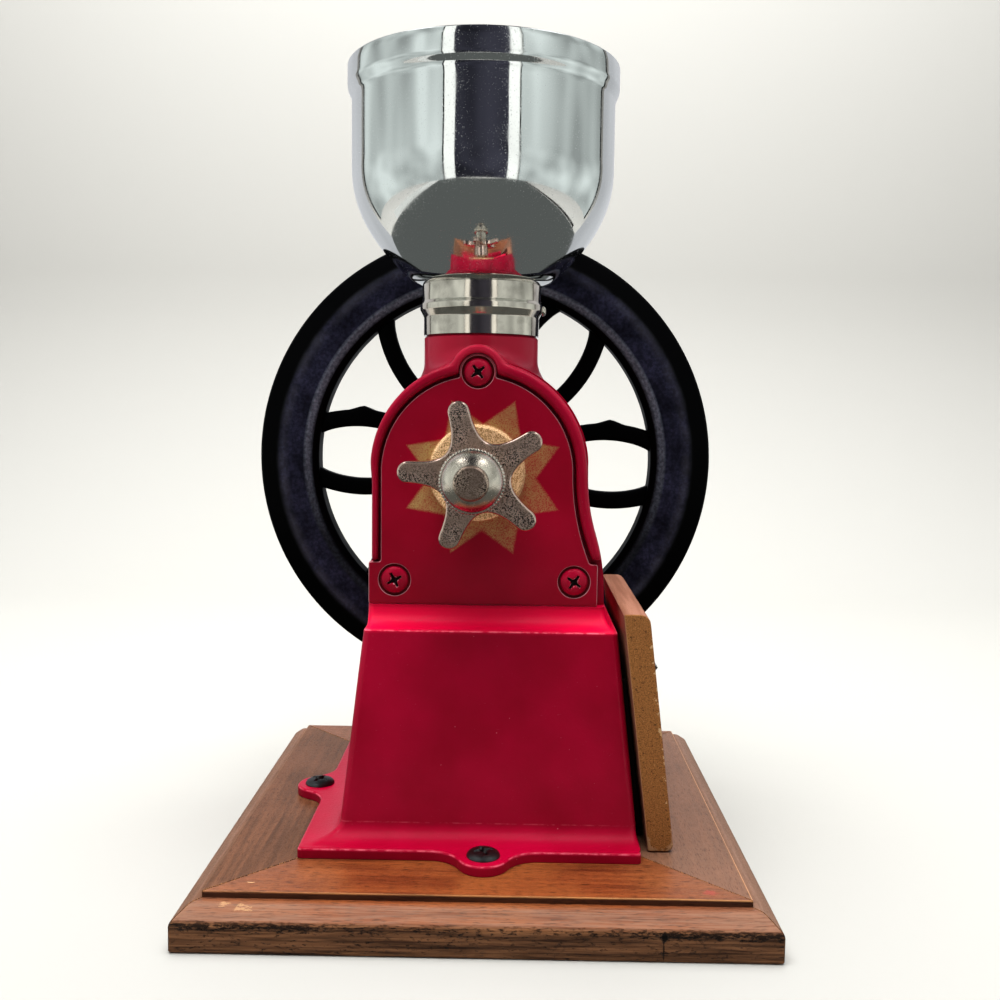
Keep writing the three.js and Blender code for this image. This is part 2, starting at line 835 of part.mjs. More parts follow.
function keyBlock(gap) {
  return block(
    [shaftX - keyWidth / 2 - gap, keyFront - gap, shaftZ + keyLow - gap],
    [shaftX + keyWidth / 2 + gap, keyFront + keyLength + gap, shaftZ + keyLow + keyHeight + gap],
  );
}

addPiece(
  'main_shaft',
  rodY(shaftRadius, -shaftFrontEnd, shaftRearEnd, shaftX, shaftZ).subtract(keyBlock(boreGap)),
  steel,
);
addPiece('wheel_key', keyBlock(0), steel);

// Burrs: a toothed ring in the casting and a toothed cone on the shaft, both widening to the front
function toothedRing(tipRadius, rootRadius, place) {
  const ring = [];
  for (let i = 0; i < 2 * burrTeeth; i += 1) {
    const radius = i % 2 === 0 ? tipRadius : rootRadius;
    const angle = Math.PI * i / burrTeeth;
    ring.push([shaftX + radius * Math.cos(angle), place, shaftZ + radius * Math.sin(angle)]);
  }
  return ring;
}

function toothedCone(wideTip, wideRoot, narrowTip, narrowRoot, front, back) {
  const wide = toothedRing(wideTip, wideRoot, front);
  return loft([wide, toothedRing(narrowTip, narrowRoot, back)], wide.map(([x, , z]) => [x, z]));
}

const ringBurrBack = -burrSeat - fitGap;
const ringBurrFront = ringBurrBack - ringBurrLength;
const burrSlope = (ringBurrWideRadius - ringBurrNarrowRadius) / ringBurrLength;
const cutterWide = ringBurrWideRadius + burrSlope * cutOver;
const cutterNarrow = ringBurrNarrowRadius - burrSlope * cutOver;
const ringBurrHole = toothedCone(
  cutterWide,
  cutterWide - burrToothDepth,
  cutterNarrow,
  cutterNarrow - burrToothDepth,
  ringBurrFront - cutOver,
  ringBurrBack + cutOver,
);
addPiece(
  'ring_burr',
  rodY(chamberRadius - fitGap, ringBurrFront, ringBurrBack, shaftX, shaftZ, fineSides)
    .subtract(ringBurrHole),
  darkSteel,
);

const coneWide = ringBurrWideRadius - burrToothDepth - burrMeshGap;
const coneNarrow = ringBurrNarrowRadius - burrToothDepth - burrMeshGap;
addPiece(
  'cone_burr',
  toothedCone(
    coneWide,
    coneWide - burrToothDepth,
    coneNarrow,
    coneNarrow - burrToothDepth,
    ringBurrFront,
    ringBurrBack,
  ).subtract(rodY(fixedBore, ringBurrFront - cutOver, ringBurrBack + cutOver, shaftX, shaftZ)),
  darkSteel,
);

// Feed auger: a core with one helical flight that carries the beans forward to the burrs
const augerFront = ringBurrBack + fitGap;
const augerBack = augerFront + augerLength;
const flightFoot = augerCoreRadius - fitGap;
const flightSection = [
  [flightFoot, -augerFlightThickness / 2],
  [augerFlightRadius, -augerFlightThickness / 2],
  [augerFlightRadius, augerFlightThickness / 2],
  [flightFoot, augerFlightThickness / 2],
];
const flightRings = [];
for (let step = 0; step <= augerSteps; step += 1) {
  const along = step / augerSteps;
  const angle = 2 * Math.PI * augerTurns * along;
  const place = augerFront + augerFlightThickness / 2 + (augerLength - augerFlightThickness) * along;
  flightRings.push(flightSection.map(([radius, offset]) => [
    shaftX + radius * Math.cos(angle),
    place + offset,
    shaftZ + radius * Math.sin(angle),
  ]));
}
addPiece(
  'auger',
  rodY(augerCoreRadius, augerFront, augerBack, shaftX, shaftZ)
    .add(loft(flightRings, flightSection))
    .subtract(rodY(fixedBore, augerFront - cutOver, augerBack + cutOver, shaftX, shaftZ)),
  darkSteel,
);

// Return spring between the auger and the rear wall: a helix of round wire
const springFront = augerBack + fitGap + springWireRadius;
const springBack = chamberBack - fitGap - springWireRadius;
const wireSection = [];
for (let side = 0; side < springSides; side += 1) {
  const angle = 2 * Math.PI * side / springSides;
  wireSection.push([springWireRadius * Math.cos(angle), springWireRadius * Math.sin(angle)]);
}
const springRings = [];
const springSteps = springTurns * springStepsPerTurn;
for (let step = 0; step <= springSteps; step += 1) {
  const angle = 2 * Math.PI * step / springStepsPerTurn;
  const place = springFront + (springBack - springFront) * step / springSteps;
  springRings.push(wireSection.map(([out, along]) => [
    shaftX + (springCoilRadius + out) * Math.cos(angle),
    place + along,
    shaftZ + (springCoilRadius + out) * Math.sin(angle),
  ]));
}
addPiece('return_spring', loft(springRings, wireSection), steel);

// Thrust ball between the shaft and the feed screw
const ballCentre = -shaftFrontEnd - seatGap - thrustBallRadius;
const ballGeometry = new THREE.SphereGeometry(thrustBallRadius, thrustBallSides, thrustBallSides);
ballGeometry.translate(shaftX, ballCentre, shaftZ);
addPiece('thrust_ball', solidOf(ballGeometry), steel);

// Feed screw, with the cross hole of the pin that holds the star wheel
const starBack = -starFront + starThickness;
const starHubBack = feedBushFront - starHubStandOff;
const starPinPlace = (starBack + starHubBack) / 2;
const starPinHole = rodZ(
  starPinRadius + boreGap,
  shaftZ - starHubRadius - cutOver,
  shaftZ + starHubRadius + cutOver,
  shaftX,
  starPinPlace,
  coarseSides,
);
const feedScrewEnd = ballCentre - thrustBallRadius - seatGap;
addPiece(
  'feed_screw',
  turnedY([
    [0, feedScrewEnd],
    [feedScrewRadius, feedScrewEnd],
    [feedScrewRadius, feedScrewDome - feedScrewTip],
    [feedScrewRadius * headRoundShare, feedScrewDome * (1 - headRoundHeightShare) - feedScrewTip],
    [0, -feedScrewTip],
  ], shaftX, shaftZ).subtract(starPinHole),
  steel,
);

// Star regulator: round-ended lobes joined by hollow webs, on a hub behind
const starShape = new THREE.Shape();
const lobeCentre = starTipRadius - starLobeRadius;
for (let lobe = 0; lobe < starLobes; lobe += 1) {
  const angle = starTurn + 2 * Math.PI * lobe / starLobes;
  const next = angle + 2 * Math.PI / starLobes;
  const centre = [lobeCentre * Math.cos(angle), lobeCentre * Math.sin(angle)];
  const nextCentre = [lobeCentre * Math.cos(next), lobeCentre * Math.sin(next)];
  const start = [
    centre[0] + starLobeRadius * Math.sin(angle),
    centre[1] - starLobeRadius * Math.cos(angle),
  ];
  const leave = [
    centre[0] - starLobeRadius * Math.sin(angle),
    centre[1] + starLobeRadius * Math.cos(angle),
  ];
  const reach = [
    nextCentre[0] + starLobeRadius * Math.sin(next),
    nextCentre[1] - starLobeRadius * Math.cos(next),
  ];
  if (lobe === 0) starShape.moveTo(...start);
  starShape.absarc(...centre, starLobeRadius, angle - quarterTurn, angle + quarterTurn, false);
  starShape.bezierCurveTo(
    leave[0] - starWebPull * Math.cos(angle), leave[1] - starWebPull * Math.sin(angle),
    reach[0] - starWebPull * Math.cos(next), reach[1] - starWebPull * Math.sin(next),
    ...reach,
  );
}
const starArms = slabY(starShape, -starFront, starBack, starCurveSteps, starBevel)
  .translate([shaftX, 0, shaftZ]);
addPiece(
  'star_regulator',
  starArms
    .add(rodY(starHubRadius, starBack - starThickness / 2, starHubBack, shaftX, shaftZ))
    .subtract(rodY(fixedBore, -starFront - cutOver, starHubBack + cutOver, shaftX, shaftZ))
    .subtract(starPinHole),
  nickel,
);
addPiece(
  'regulator_pin',
  rodZ(starPinRadius, shaftZ - starHubRadius, shaftZ + starHubRadius, shaftX, starPinPlace, coarseSides),
  steel,
);

// Lock nut: a neck, a knurled skirt and a dome, open for the tip of the feed screw
const nutBack = -starFront - fitGap;
const skirtBack = nutBack - nutNeckLength;
const skirtFront = skirtBack - nutSkirtLength;
const knurl = [];
for (let i = 0; i < 2 * nutKnurls; i += 1) {
  const angle = Math.PI * i / nutKnurls;
  const radius = nutSkirtRadius - (i % 2) * nutKnurlDepth;
  knurl.push([shaftX + radius * Math.cos(angle), shaftZ + radius * Math.sin(angle)]);
}
const skirt = loft([skirtBack, skirtFront].map((place) => knurl.map(([x, z]) => [x, place, z])), knurl);
const domeLine = [[0, skirtBack - seatGap]];
for (let step = 0; step <= nutDomeSteps; step += 1) {
  const angle = quarterTurn * step / nutDomeSteps;
  domeLine.push([nutShoulderRadius * Math.cos(angle), skirtFront - nutDomeLength * Math.sin(angle)]);
}
domeLine[domeLine.length - 1][0] = 0;
addPiece(
  'lock_nut',
  skirt
    .add(turnedY(domeLine, shaftX, shaftZ))
    .add(rodY(nutNeckRadius, skirtFront, nutBack, shaftX, shaftZ))
    .subtract(rodY(fixedBore, -feedScrewTip - cutOver, nutBack + cutOver, shaftX, shaftZ)),
  chrome,
);

// Flywheel rim, bevelled on both faces
const rimFaceOuterRadius = wheelRadius - rimOuterSlope;
const rimFaceInnerRadius = rimFaceOuterRadius - rimFaceWidth;
const rimInnerRadius = rimFaceInnerRadius - rimInnerSlope;
const rimLine = [
  [rimInnerRadius, rimInnerHalfWidth],
  [rimInnerRadius, -rimInnerHalfWidth],
  [rimFaceInnerRadius, -rimHalfWidth],
  [rimFaceOuterRadius, -rimHalfWidth],
  [wheelRadius - rimCorner, -rimOuterHalfWidth],
  [wheelRadius, rimCorner - rimOuterHalfWidth],
  [wheelRadius, rimOuterHalfWidth - rimCorner],
  [wheelRadius - rimCorner, rimOuterHalfWidth],
  [rimFaceOuterRadius, rimHalfWidth],
  [rimFaceInnerRadius, rimHalfWidth],
].map(([radius, offset]) => [radius, wheelPlane + offset]);
const rim = turnedY(rimLine, shaftX, shaftZ, wheelSides);

// Spokes: pairs of bars bowed apart, each a stretch of an arc from the hub into the rim
const bowCentre = spokeApexOffset - spokeArcRadius;
const bowRimAngle = Math.acos((rimFaceInnerRadius - spokeWidth / 2 - spokeApexRadius) / spokeArcRadius);
const bowHubAngle = Math.acos((hubRadius - spokeWidth / 2 - spokeApexRadius) / spokeArcRadius);
const spokeShape = new THREE.Shape();
const bowOuter = spokeArcRadius + spokeWidth / 2;
const bowInner = spokeArcRadius - spokeWidth / 2;
spokeShape.absarc(spokeApexRadius, bowCentre, bowOuter, bowRimAngle, bowHubAngle, false);
spokeShape.absarc(spokeApexRadius, bowCentre, bowInner, bowHubAngle, bowRimAngle, true);
const spokeFront = wheelPlane - spokeHalfThickness;
const bar = slabY(spokeShape, spokeFront, wheelPlane + spokeHalfThickness, spokeArcSteps);
const bars = [];
for (let pair = 0; pair < spokePairs; pair += 1) {
  const turn = (wheelTurn + 2 * Math.PI * pair / spokePairs) / degree;
  for (const solid of [bar, bar.mirror([0, 0, 1])]) {
    bars.push(solid.rotate([0, -turn, 0]).translate([shaftX, 0, shaftZ]));
  }
}

// Hub, crank boss and the finished wheel
const crankAngle = wheelTurn - quarterTurn;
const crankRadius = wheelRadius - crankInset;
const crankX = shaftX + crankRadius * Math.cos(crankAngle);
const crankZ = shaftZ + crankRadius * Math.sin(crankAngle);
const crankBossBack = wheelPlane + rimHalfWidth + crankBossProud;
const spindleFront = crankBossBack - spindleRootLength;
addPiece(
  'flywheel',
  union([
    rim,
    ...bars,
    rodY(hubRadius, hubFront, hubBack, shaftX, shaftZ),
    rodY(crankBossRadius, wheelPlane, crankBossBack, crankX, crankZ),
  ]).subtract(union([
    rodY(fixedBore, hubFront - cutOver, hubBack + cutOver, shaftX, shaftZ),
    keyBlock(boreGap),
    rodY(spindleRootRadius + boreGap, spindleFront - boreGap, crankBossBack + cutOver, crankX, crankZ),
  ])),
  blackIron,
);

// Washer and nut that hold the wheel on the shaft
const washerFront = hubBack + fitGap;
const nutFront = washerFront + washerThickness + fitGap;
addPiece('wheel_washer', turnedY([
  [fixedBore, washerFront],
  [washerRadius, washerFront],
  [washerRadius, washerFront + washerThickness],
  [fixedBore, washerFront + washerThickness],
], shaftX, shaftZ), steel);
const hexRadius = hexNutAcross / 2 / Math.cos(Math.PI / hexSides);
addPiece(
  'wheel_nut',
  rodY(hexRadius, nutFront, nutFront + hexNutHeight, shaftX, shaftZ, hexSides)
    .subtract(rodY(fixedBore, nutFront - cutOver, nutFront + hexNutHeight + cutOver, shaftX, shaftZ)),
  steel,
);

// Crank spindle, turning knob and the cap screw that keeps the knob on
const spindleCollarFront = crankBossBack + fitGap;
const spindleShoulder = spindleCollarFront + spindleCollarLength;
const knobFront = spindleShoulder + knobPlay;
const knobBack = knobFront + knobLength;
const spindleEnd = knobBack + knobPlay / 2;
addPiece(
  'crank_spindle',
  turnedY([
    [0, spindleFront],
    [spindleRootRadius, spindleFront],
    [spindleRootRadius, spindleCollarFront],
    [spindleCollarRadius, spindleCollarFront],
    [spindleCollarRadius, spindleShoulder],
    [spindleRadius, spindleShoulder],
    [spindleRadius, spindleEnd],
    [0, spindleEnd],
  ], crankX, crankZ).subtract(rodY(
    knobCapShankRadius + boreGap,
    spindleEnd - knobCapShankLength - boreGap,
    spindleEnd + cutOver,
    crankX,
    crankZ,
    coarseSides,
  )),
  steel,
);

const knobBore = spindleRadius + runningGap;
const knobLine = [[knobBore, knobFront]];
for (let step = 0; step <= knobSteps; step += 1) {
  const along = step / knobSteps;
  const foreSwell = Math.sin(quarterTurn * along / knobBellyShare);
  const backSwell = Math.cos(quarterTurn * (along - knobBellyShare) / (1 - knobBellyShare));
  const radius = along < knobBellyShare
    ? knobNeckRadius + (knobBellyRadius - knobNeckRadius) * foreSwell
    : knobEndRadius + (knobBellyRadius - knobEndRadius) * backSwell;
  knobLine.push([radius, knobFront + knobLength * along]);
}
knobLine[1][0] -= knobEdge;
knobLine[knobLine.length - 1][0] -= knobEdge;
knobLine.push([knobBore, knobBack]);
addPiece('crank_knob', turnedY(knobLine, crankX, crankZ), turnedWood);

const knobCap = crossScrew(knobCapRadius, knobCapHeight, knobCapShankRadius, knobCapShankLength);
addPiece('knob_cap_screw', knobCap.translate([crankX, spindleEnd + seatGap, crankZ]), steel);

// Drawer front: a leaning fibreboard slab with rounded outer edges
const slabHigh = slabLow + slabHeight;
const lean = Math.atan2(slabLowX - slabHighX, slabHeight);
const slabInnerX = (height) => slabLowX - Math.tan(lean) * (height - slabLow);
const slabShape = new THREE.Shape();
slabShape.moveTo(slabLowX, slabLow);
slabShape.lineTo(slabLowX + slabThickness - slabRound, slabLow);
slabShape.quadraticCurveTo(
  slabLowX + slabThickness, slabLow,
  slabInnerX(slabLow + slabRound) + slabThickness, slabLow + slabRound,
);
slabShape.lineTo(slabInnerX(slabHigh - slabRound) + slabThickness, slabHigh - slabRound);
slabShape.quadraticCurveTo(
  slabHighX + slabThickness, slabHigh,
  slabHighX + slabThickness - slabRound, slabHigh,
);
slabShape.lineTo(slabHighX, slabHigh);

// A place on the outer face of the slab, leaning with it
const drawerMiddle = (slabBack - slabFront) / 2;
const pullLow = slabLow + pullRise;
function onSlab(solid, sideways, rise) {
  return solid
    .translate([0, 0, rise])
    .rotate([0, -lean / degree, 0])
    .translate([slabInnerX(pullLow) + slabThickness, drawerMiddle + sideways, pullLow]);
}

const pullScrewPlaces = [-pullScrewSpread / 2, pullScrewSpread / 2];
const pullHole = rodY(pullShankRadius + boreGap, -pullShankLength - fitGap, cutOver, 0, 0, coarseSides)
  .rotate([0, 0, -90]);
const pullHoles = union(pullScrewPlaces.map((sideways) => onSlab(pullHole, sideways, pullScrewRise)));
addPiece(
  'drawer_front',
  slabY(slabShape, -slabFront, slabBack, slabRoundSteps).subtract(pullHoles),
  fibreboard,
);

// Drawer box: floor, two side walls cut to the lean of the front, and a back
const boxFront = drawerCentreY - bayWidth / 2 + drawerSideGap;
const boxRear = drawerCentreY + bayWidth / 2 - drawerSideGap;
const floorTop = slabLow + drawerFloor;
const wallLow = floorTop + fitGap;
const wallHigh = slabLow + drawerDepth;

function drawerBoard(low, high, start, end) {
  const shape = new THREE.Shape();
  shape.moveTo(-drawerBack, low);
  shape.lineTo(slabInnerX(low) - fitGap, low);
  shape.lineTo(slabInnerX(high) - fitGap, high);
  shape.lineTo(-drawerBack, high);
  return slabY(shape, start, end, 1);
}

addPiece('drawer_bottom', drawerBoard(slabLow, floorTop, boxFront, boxRear), plywood);
addPiece('drawer_side_front', drawerBoard(wallLow, wallHigh, boxFront, boxFront + drawerWall), plywood);
addPiece('drawer_side_rear', drawerBoard(wallLow, wallHigh, boxRear - drawerWall, boxRear), plywood);
addPiece('drawer_back', block(
  [-drawerBack, boxFront + drawerWall + fitGap, wallLow],
  [drawerWall - drawerBack, boxRear - drawerWall - fitGap, wallHigh],
), plywood);

// Drawer pull: a sheet with a leaf on two small screws, bent over into a lip that slants down
const pullShape = new THREE.Shape();
const bendX = fitGap + pullBendRadius;
const bendInner = pullBendRadius - pullThickness;
const lipStart = Math.PI / 4;
const lipSlant = Math.SQRT1_2;
pullShape.moveTo(fitGap, 0);
pullShape.lineTo(fitGap, pullLeafHeight);
pullShape.absarc(bendX, pullLeafHeight, pullBendRadius, Math.PI, lipStart, true);
pullShape.lineTo(
  bendX + (pullBendRadius + pullLipLength) * lipSlant,
  pullLeafHeight + (pullBendRadius - pullLipLength) * lipSlant,
);
pullShape.lineTo(
  bendX + (bendInner + pullLipLength) * lipSlant,
  pullLeafHeight + (bendInner - pullLipLength) * lipSlant,
);
pullShape.absarc(bendX, pullLeafHeight, bendInner, lipStart, Math.PI, false);
pullShape.lineTo(fitGap + pullThickness, 0);
const pullSheet = slabY(pullShape, -pullWidth / 2, pullWidth / 2, pullBendSteps);
addPiece('drawer_pull', onSlab(pullSheet, 0, 0).subtract(pullHoles), darkSteel);

const pullScrew = crossScrew(pullHeadRadius, pullHeadHeight, pullShankRadius, pullShankLength)
  .rotate([0, 0, -90])
  .translate([fitGap + pullThickness + seatGap, 0, 0]);
['pull_screw_front', 'pull_screw_rear'].forEach((name, i) => {
  addPiece(name, onSlab(pullScrew, pullScrewPlaces[i], pullScrewRise), darkSteel);
});

export default grinder;
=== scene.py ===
# Looks of the manual coffee grinder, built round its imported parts. Lengths are millimetres until a mesh
# is made, x runs to the drawer side, y to the flywheel side and z up, as in the part itself.
import math
from functools import partial

import bmesh
import bpy
import numpy as np
from mathutils import Matrix, Vector
from mathutils.geometry import tessellate_polygon


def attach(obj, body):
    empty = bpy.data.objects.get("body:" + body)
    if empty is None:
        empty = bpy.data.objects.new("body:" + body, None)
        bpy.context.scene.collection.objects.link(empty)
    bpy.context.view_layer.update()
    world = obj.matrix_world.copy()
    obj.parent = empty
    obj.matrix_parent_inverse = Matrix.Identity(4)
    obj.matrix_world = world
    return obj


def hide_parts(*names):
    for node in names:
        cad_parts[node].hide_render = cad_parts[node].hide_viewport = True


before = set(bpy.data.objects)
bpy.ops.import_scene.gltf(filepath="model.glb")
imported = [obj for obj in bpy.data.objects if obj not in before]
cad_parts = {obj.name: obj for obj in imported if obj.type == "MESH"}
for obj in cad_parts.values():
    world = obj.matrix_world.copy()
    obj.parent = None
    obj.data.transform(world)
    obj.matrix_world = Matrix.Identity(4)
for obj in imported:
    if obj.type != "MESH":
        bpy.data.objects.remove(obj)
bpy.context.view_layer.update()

# Camera: at the photograph's viewing angle, from the front and a little above the plate.
# Its place and turn were solved from the edges of the part itself.
MM = 0.001
camera_place = np.array([10.7, -444.2, 186.0])
turned_left, tipped_down, rolled = np.radians([-0.72, 5.11, 0.72])
camera_lens = 37.98
film_width = 36.0
ahead = np.array([
    math.sin(turned_left) * math.cos(tipped_down),
    math.cos(turned_left) * math.cos(tipped_down),
    -math.sin(tipped_down),
])
level = np.array([math.cos(turned_left), -math.sin(turned_left), 0.0])
upright = np.cross(level, ahead)
across = math.cos(rolled) * level + math.sin(rolled) * upright
above = math.cos(rolled) * upright - math.sin(rolled) * level
camera = bpy.data.objects.new("camera", bpy.data.cameras.new("camera"))
camera.data.lens = camera_lens
camera.data.sensor_width = film_width
camera.matrix_world = Matrix.Translation(Vector(camera_place * MM)) @ Matrix(
    np.column_stack([across, above, -ahead]).tolist()
).to_4x4()
bpy.context.scene.collection.objects.link(camera)
bpy.context.scene.camera = camera


# Studio: a pale floor that runs up into a pale wall, one large soft light overhead, another that lights
# the wall, and a dim room all round. A dark screen with two white strips stands behind the
# camera, where only polished metal and enamel can mirror it.
def linear(colour):
    """Hex colour of the screen turned to the linear red, green, blue and alpha that shaders take."""
    channels = [int(colour[place:place + 2], 16) / 255 for place in (1, 3, 5)]
    curved = [c / 12.92 if c <= 0.04045 else ((c + 0.055) / 1.055) ** 2.4 for c in channels]
    return (*curved, 1.0)


def add(tree, kind, *values, **settings):
    """Adds a shader node, its kind maybe followed by its operation, and gives back its first output in
    use. The values, which are numbers, hex colours or sockets, go to its inputs in use in their order,
    those of a dict to the inputs it names. Mix nodes mix colours."""
    kind, _, operation = kind.partition(" ")
    node = tree.nodes.new("ShaderNode" + kind)
    if operation:
        node.operation = operation
    if kind == "Mix":
        node.data_type = "RGBA"
    for name, value in settings.items():
        setattr(node, name, value)
    in_use = [socket for socket in node.inputs if socket.enabled]
    given = []
    for socket, value in zip(in_use, values):
        named = isinstance(value, dict)
        given += [(node.inputs[name], part) for name, part in value.items()] if named else [(socket, value)]
    for socket, value in given:
        if isinstance(value, bpy.types.NodeSocket):
            tree.links.new(value, socket)
        else:
            socket.default_value = linear(value) if isinstance(value, str) else value
    return next((socket for socket in node.outputs if socket.enabled), None)


def new_material(name):
    """An empty material, a function that adds nodes to it, and the Object coordinates of its patterns."""
    made = bpy.data.materials.new(name)
    made.use_nodes = True
    made.node_tree.nodes.clear()
    node = partial(add, made.node_tree)
    return made, node, node("TexCoord").node.outputs["Object"]


def finished(made, surface):
    """The material with its Principled surface, whose inputs are given by name."""
    add(made.node_tree, "OutputMaterial", add(made.node_tree, "BsdfPrincipled", surface))
    return made


def plain_matt(name, colour, roughness):
    """Matt paint of one colour, for the studio alone."""
    made = new_material(name)[0]
    return finished(made, {"Base Color": colour, "Roughness": roughness, "Specular IOR Level": 0.0})


def skin(grid, round_rows=False, round_columns=True):
    """Grid of points (rows, columns, 3) as quads; its rows or its columns may run round to the start."""
    rows, columns = grid.shape[:2]
    index = np.arange(rows * columns).reshape(rows, columns)
    if round_rows:
        index = np.vstack([index, index[:1]])
    if round_columns:
        index = np.hstack([index, index[:, :1]])
    corners = [index[:-1, :-1], index[:-1, 1:], index[1:, 1:], index[1:, :-1]]
    return grid.reshape(-1, 3), np.stack(corners, axis=-1).reshape(-1, 4).tolist()


def new_mesh(name, parts, sharp_degrees):
    """One mesh of several (points, faces) parts: doubles merged, faces outwards, smooth up to an angle."""
    points = np.vstack([part[0] for part in parts]) * MM
    faces = []
    start = 0
    for part_points, part_faces in parts:
        faces += [[corner + start for corner in face] for face in part_faces]
        start += len(part_points)
    mesh = bpy.data.meshes.new(name)
    mesh.from_pydata(points.tolist(), [], faces)
    whole = bmesh.new()
    whole.from_mesh(mesh)
    bmesh.ops.remove_doubles(whole, verts=whole.verts, dist=0.0005 * MM)
    bmesh.ops.recalc_face_normals(whole, faces=whole.faces)
    whole.to_mesh(mesh)
    whole.free()
    mesh.polygons.foreach_set("use_smooth", np.ones(len(mesh.polygons), bool))
    mesh.set_sharp_from_angle(angle=math.radians(sharp_degrees))
    return mesh


def stage_piece(name, parts, material):
    """A piece of the studio, which is no part of the object."""
    made = bpy.data.objects.new(name, new_mesh(name, parts, 30))
    made.data.materials.append(material)
    bpy.context.scene.collection.objects.link(made)
    return made


floor_reach = 2600.0
wall_place = 900.0
wall_height = 1900.0
sweep_radius = 350.0
sweep_turn = np.linspace(0, math.pi / 2, 13)
sweep_line = np.vstack([
    [[-floor_reach, 0.0]],
    np.column_stack([
        wall_place - sweep_radius + sweep_radius * np.sin(sweep_turn),
        sweep_radius * (1 - np.cos(sweep_turn)),
    ]),
    [[wall_place, wall_height]],
])
sweep_grid = np.array([
    np.column_stack([np.full(len(sweep_line), side), sweep_line]) for side in (-floor_reach, floor_reach)
])
floor_paint = plain_matt("studio_floor_paint", "#a3a29e", 0.7)
stage_piece("studio_floor", [skin(sweep_grid, round_columns=False)], floor_paint)


def glow_card(name, grid, colour, brightness, uneven=0.0):
    """Sheet that only mirrors see: the camera, the floor and the shadows pass it by. Its glow may
    vary softly from place to place."""
    made, node, here = new_material(name)
    cloud = node("TexNoise", here, 1 / (310.0 * MM), 1.0)
    glow = node("MapRange", cloud, 0.3, 0.7, brightness - uneven, brightness + uneven)
    node("OutputMaterial", node("Emission", colour, glow))
    card = stage_piece(name, [skin(grid, round_columns=False)], made)
    card.visible_camera = False
    card.visible_diffuse = False
    card.visible_shadow = False
    card.visible_transmission = False


def screen(name, start, end, colour, brightness, uneven=0.0, radius=800.0, low=0.7, high=1500.0):
    """Upright curved screen from one bearing to another, in degrees from straight ahead of the front."""
    bearing = np.radians(np.linspace(start, end, 24))
    round_line = np.column_stack([radius * np.sin(bearing), -radius * np.cos(bearing)])
    grid = np.array([np.column_stack([round_line, np.full(24, height)]) for height in (low, high)])
    glow_card(name, grid, colour, brightness, uneven)


def mat(name, left, right, near, far, colour, brightness, lift=0.6):
    """Level card, by itself a hair above the floor."""
    grid = np.array([[[left, near, lift], [right, near, lift]], [[left, far, lift], [right, far, lift]]])
    glow_card(name, grid, colour, brightness)


screen("studio_dark_screen", -21.5, 21.5, "#50505c", 0.6, 0.3)
for side, where in ((-1, "left"), (1, "right")):
    screen(f"studio_strip_{where}", side * 21.5, side * 30.5, "#f4f6f2", 1.25, 0.1)
    screen(f"studio_strip_edge_{where}", side * 30.5, side * 31.7, "#101013", 0.2)
    screen(f"studio_room_{where}", side * 31.7, side * 118, "#dfe7e5", 0.78, 0.3)
    screen(f"studio_room_edge_{where}", side * 118, side * 120, "#2a2b2d", 0.5)
screen("studio_back_screen", 122, 238, "#dadce0", 0.8, 0.1, radius=545.0, low=1.0, high=1200.0)
mat("studio_mat", -470, 470, -745, 520, "#868a88", 0.55)
mat("studio_mat_left", -560, -475, -700, 60, "#f2f4f0", 0.9)
mat("studio_mat_right", 475, 500, -740, 200, "#1c1c1e", 0.3)
mat("studio_overhead_left", -1100, -480, -900, 140, "#ffffff", 3.2, lift=1340.0)
mat("studio_overhead_right", 480, 1100, -900, 140, "#ffffff", 3.2, lift=1340.0)
mat("studio_overhead_gap", -480, 480, -900, 140, "#4a4a50", 0.6, lift=1340.0)


def soft_light(name, place, target, size, power):
    """Square lamp that shines from a place to a target and isn't seen in the metal."""
    lamp = bpy.data.lights.new(name, "AREA")
    lamp.size = size
    lamp.energy = power
    made = bpy.data.objects.new(name, lamp)
    made.location = Vector(place) * MM
    aim = Vector(target) * MM - made.location
    made.rotation_mode = "QUATERNION"
    made.rotation_quaternion = aim.to_track_quat("-Z", "Y")
    made.visible_glossy = False
    bpy.context.scene.collection.objects.link(made)


soft_light("light_overhead", (-120, -260, 1350), (0, 0, 120), 1.0, 24.0)
soft_light("light_on_wall", (0, 420, 1500), (0, 900, 420), 1.4, 40.0)
room = bpy.data.worlds.new("pale_room")
room.use_nodes = True
room.node_tree.nodes.clear()
room_sky = add(room.node_tree, "Background", "#dfe0e2", 0.33)
add(room.node_tree, "OutputWorld", room_sky)
bpy.context.scene.world = room
bpy.context.scene.view_settings.view_transform = "Standard"
bpy.context.scene.view_settings.look = "Medium High Contrast"


# Base rails: four varnished open-grained hardwood rails, moulded with a raised step and a rounded
# outer edge, and mitred at the corners. Knocks show on the step and ply splits on the outer face.
def piece(name, parts, body, material, replaces=(), sharp_degrees=35, flat_faces=False):
    """A finished piece: a new mesh in place, with its material, body and the nodes it replaces."""
    made = bpy.data.objects.new(name, new_mesh(name, parts, sharp_degrees))
    made.data.materials.append(material)
    bpy.context.scene.collection.objects.link(made)
    if flat_faces:
        made.modifiers.new("flat_faces_first", "WEIGHTED_NORMAL").keep_sharp = True
    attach(made, body)
    if replaces:
        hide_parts(*replaces)
    return made


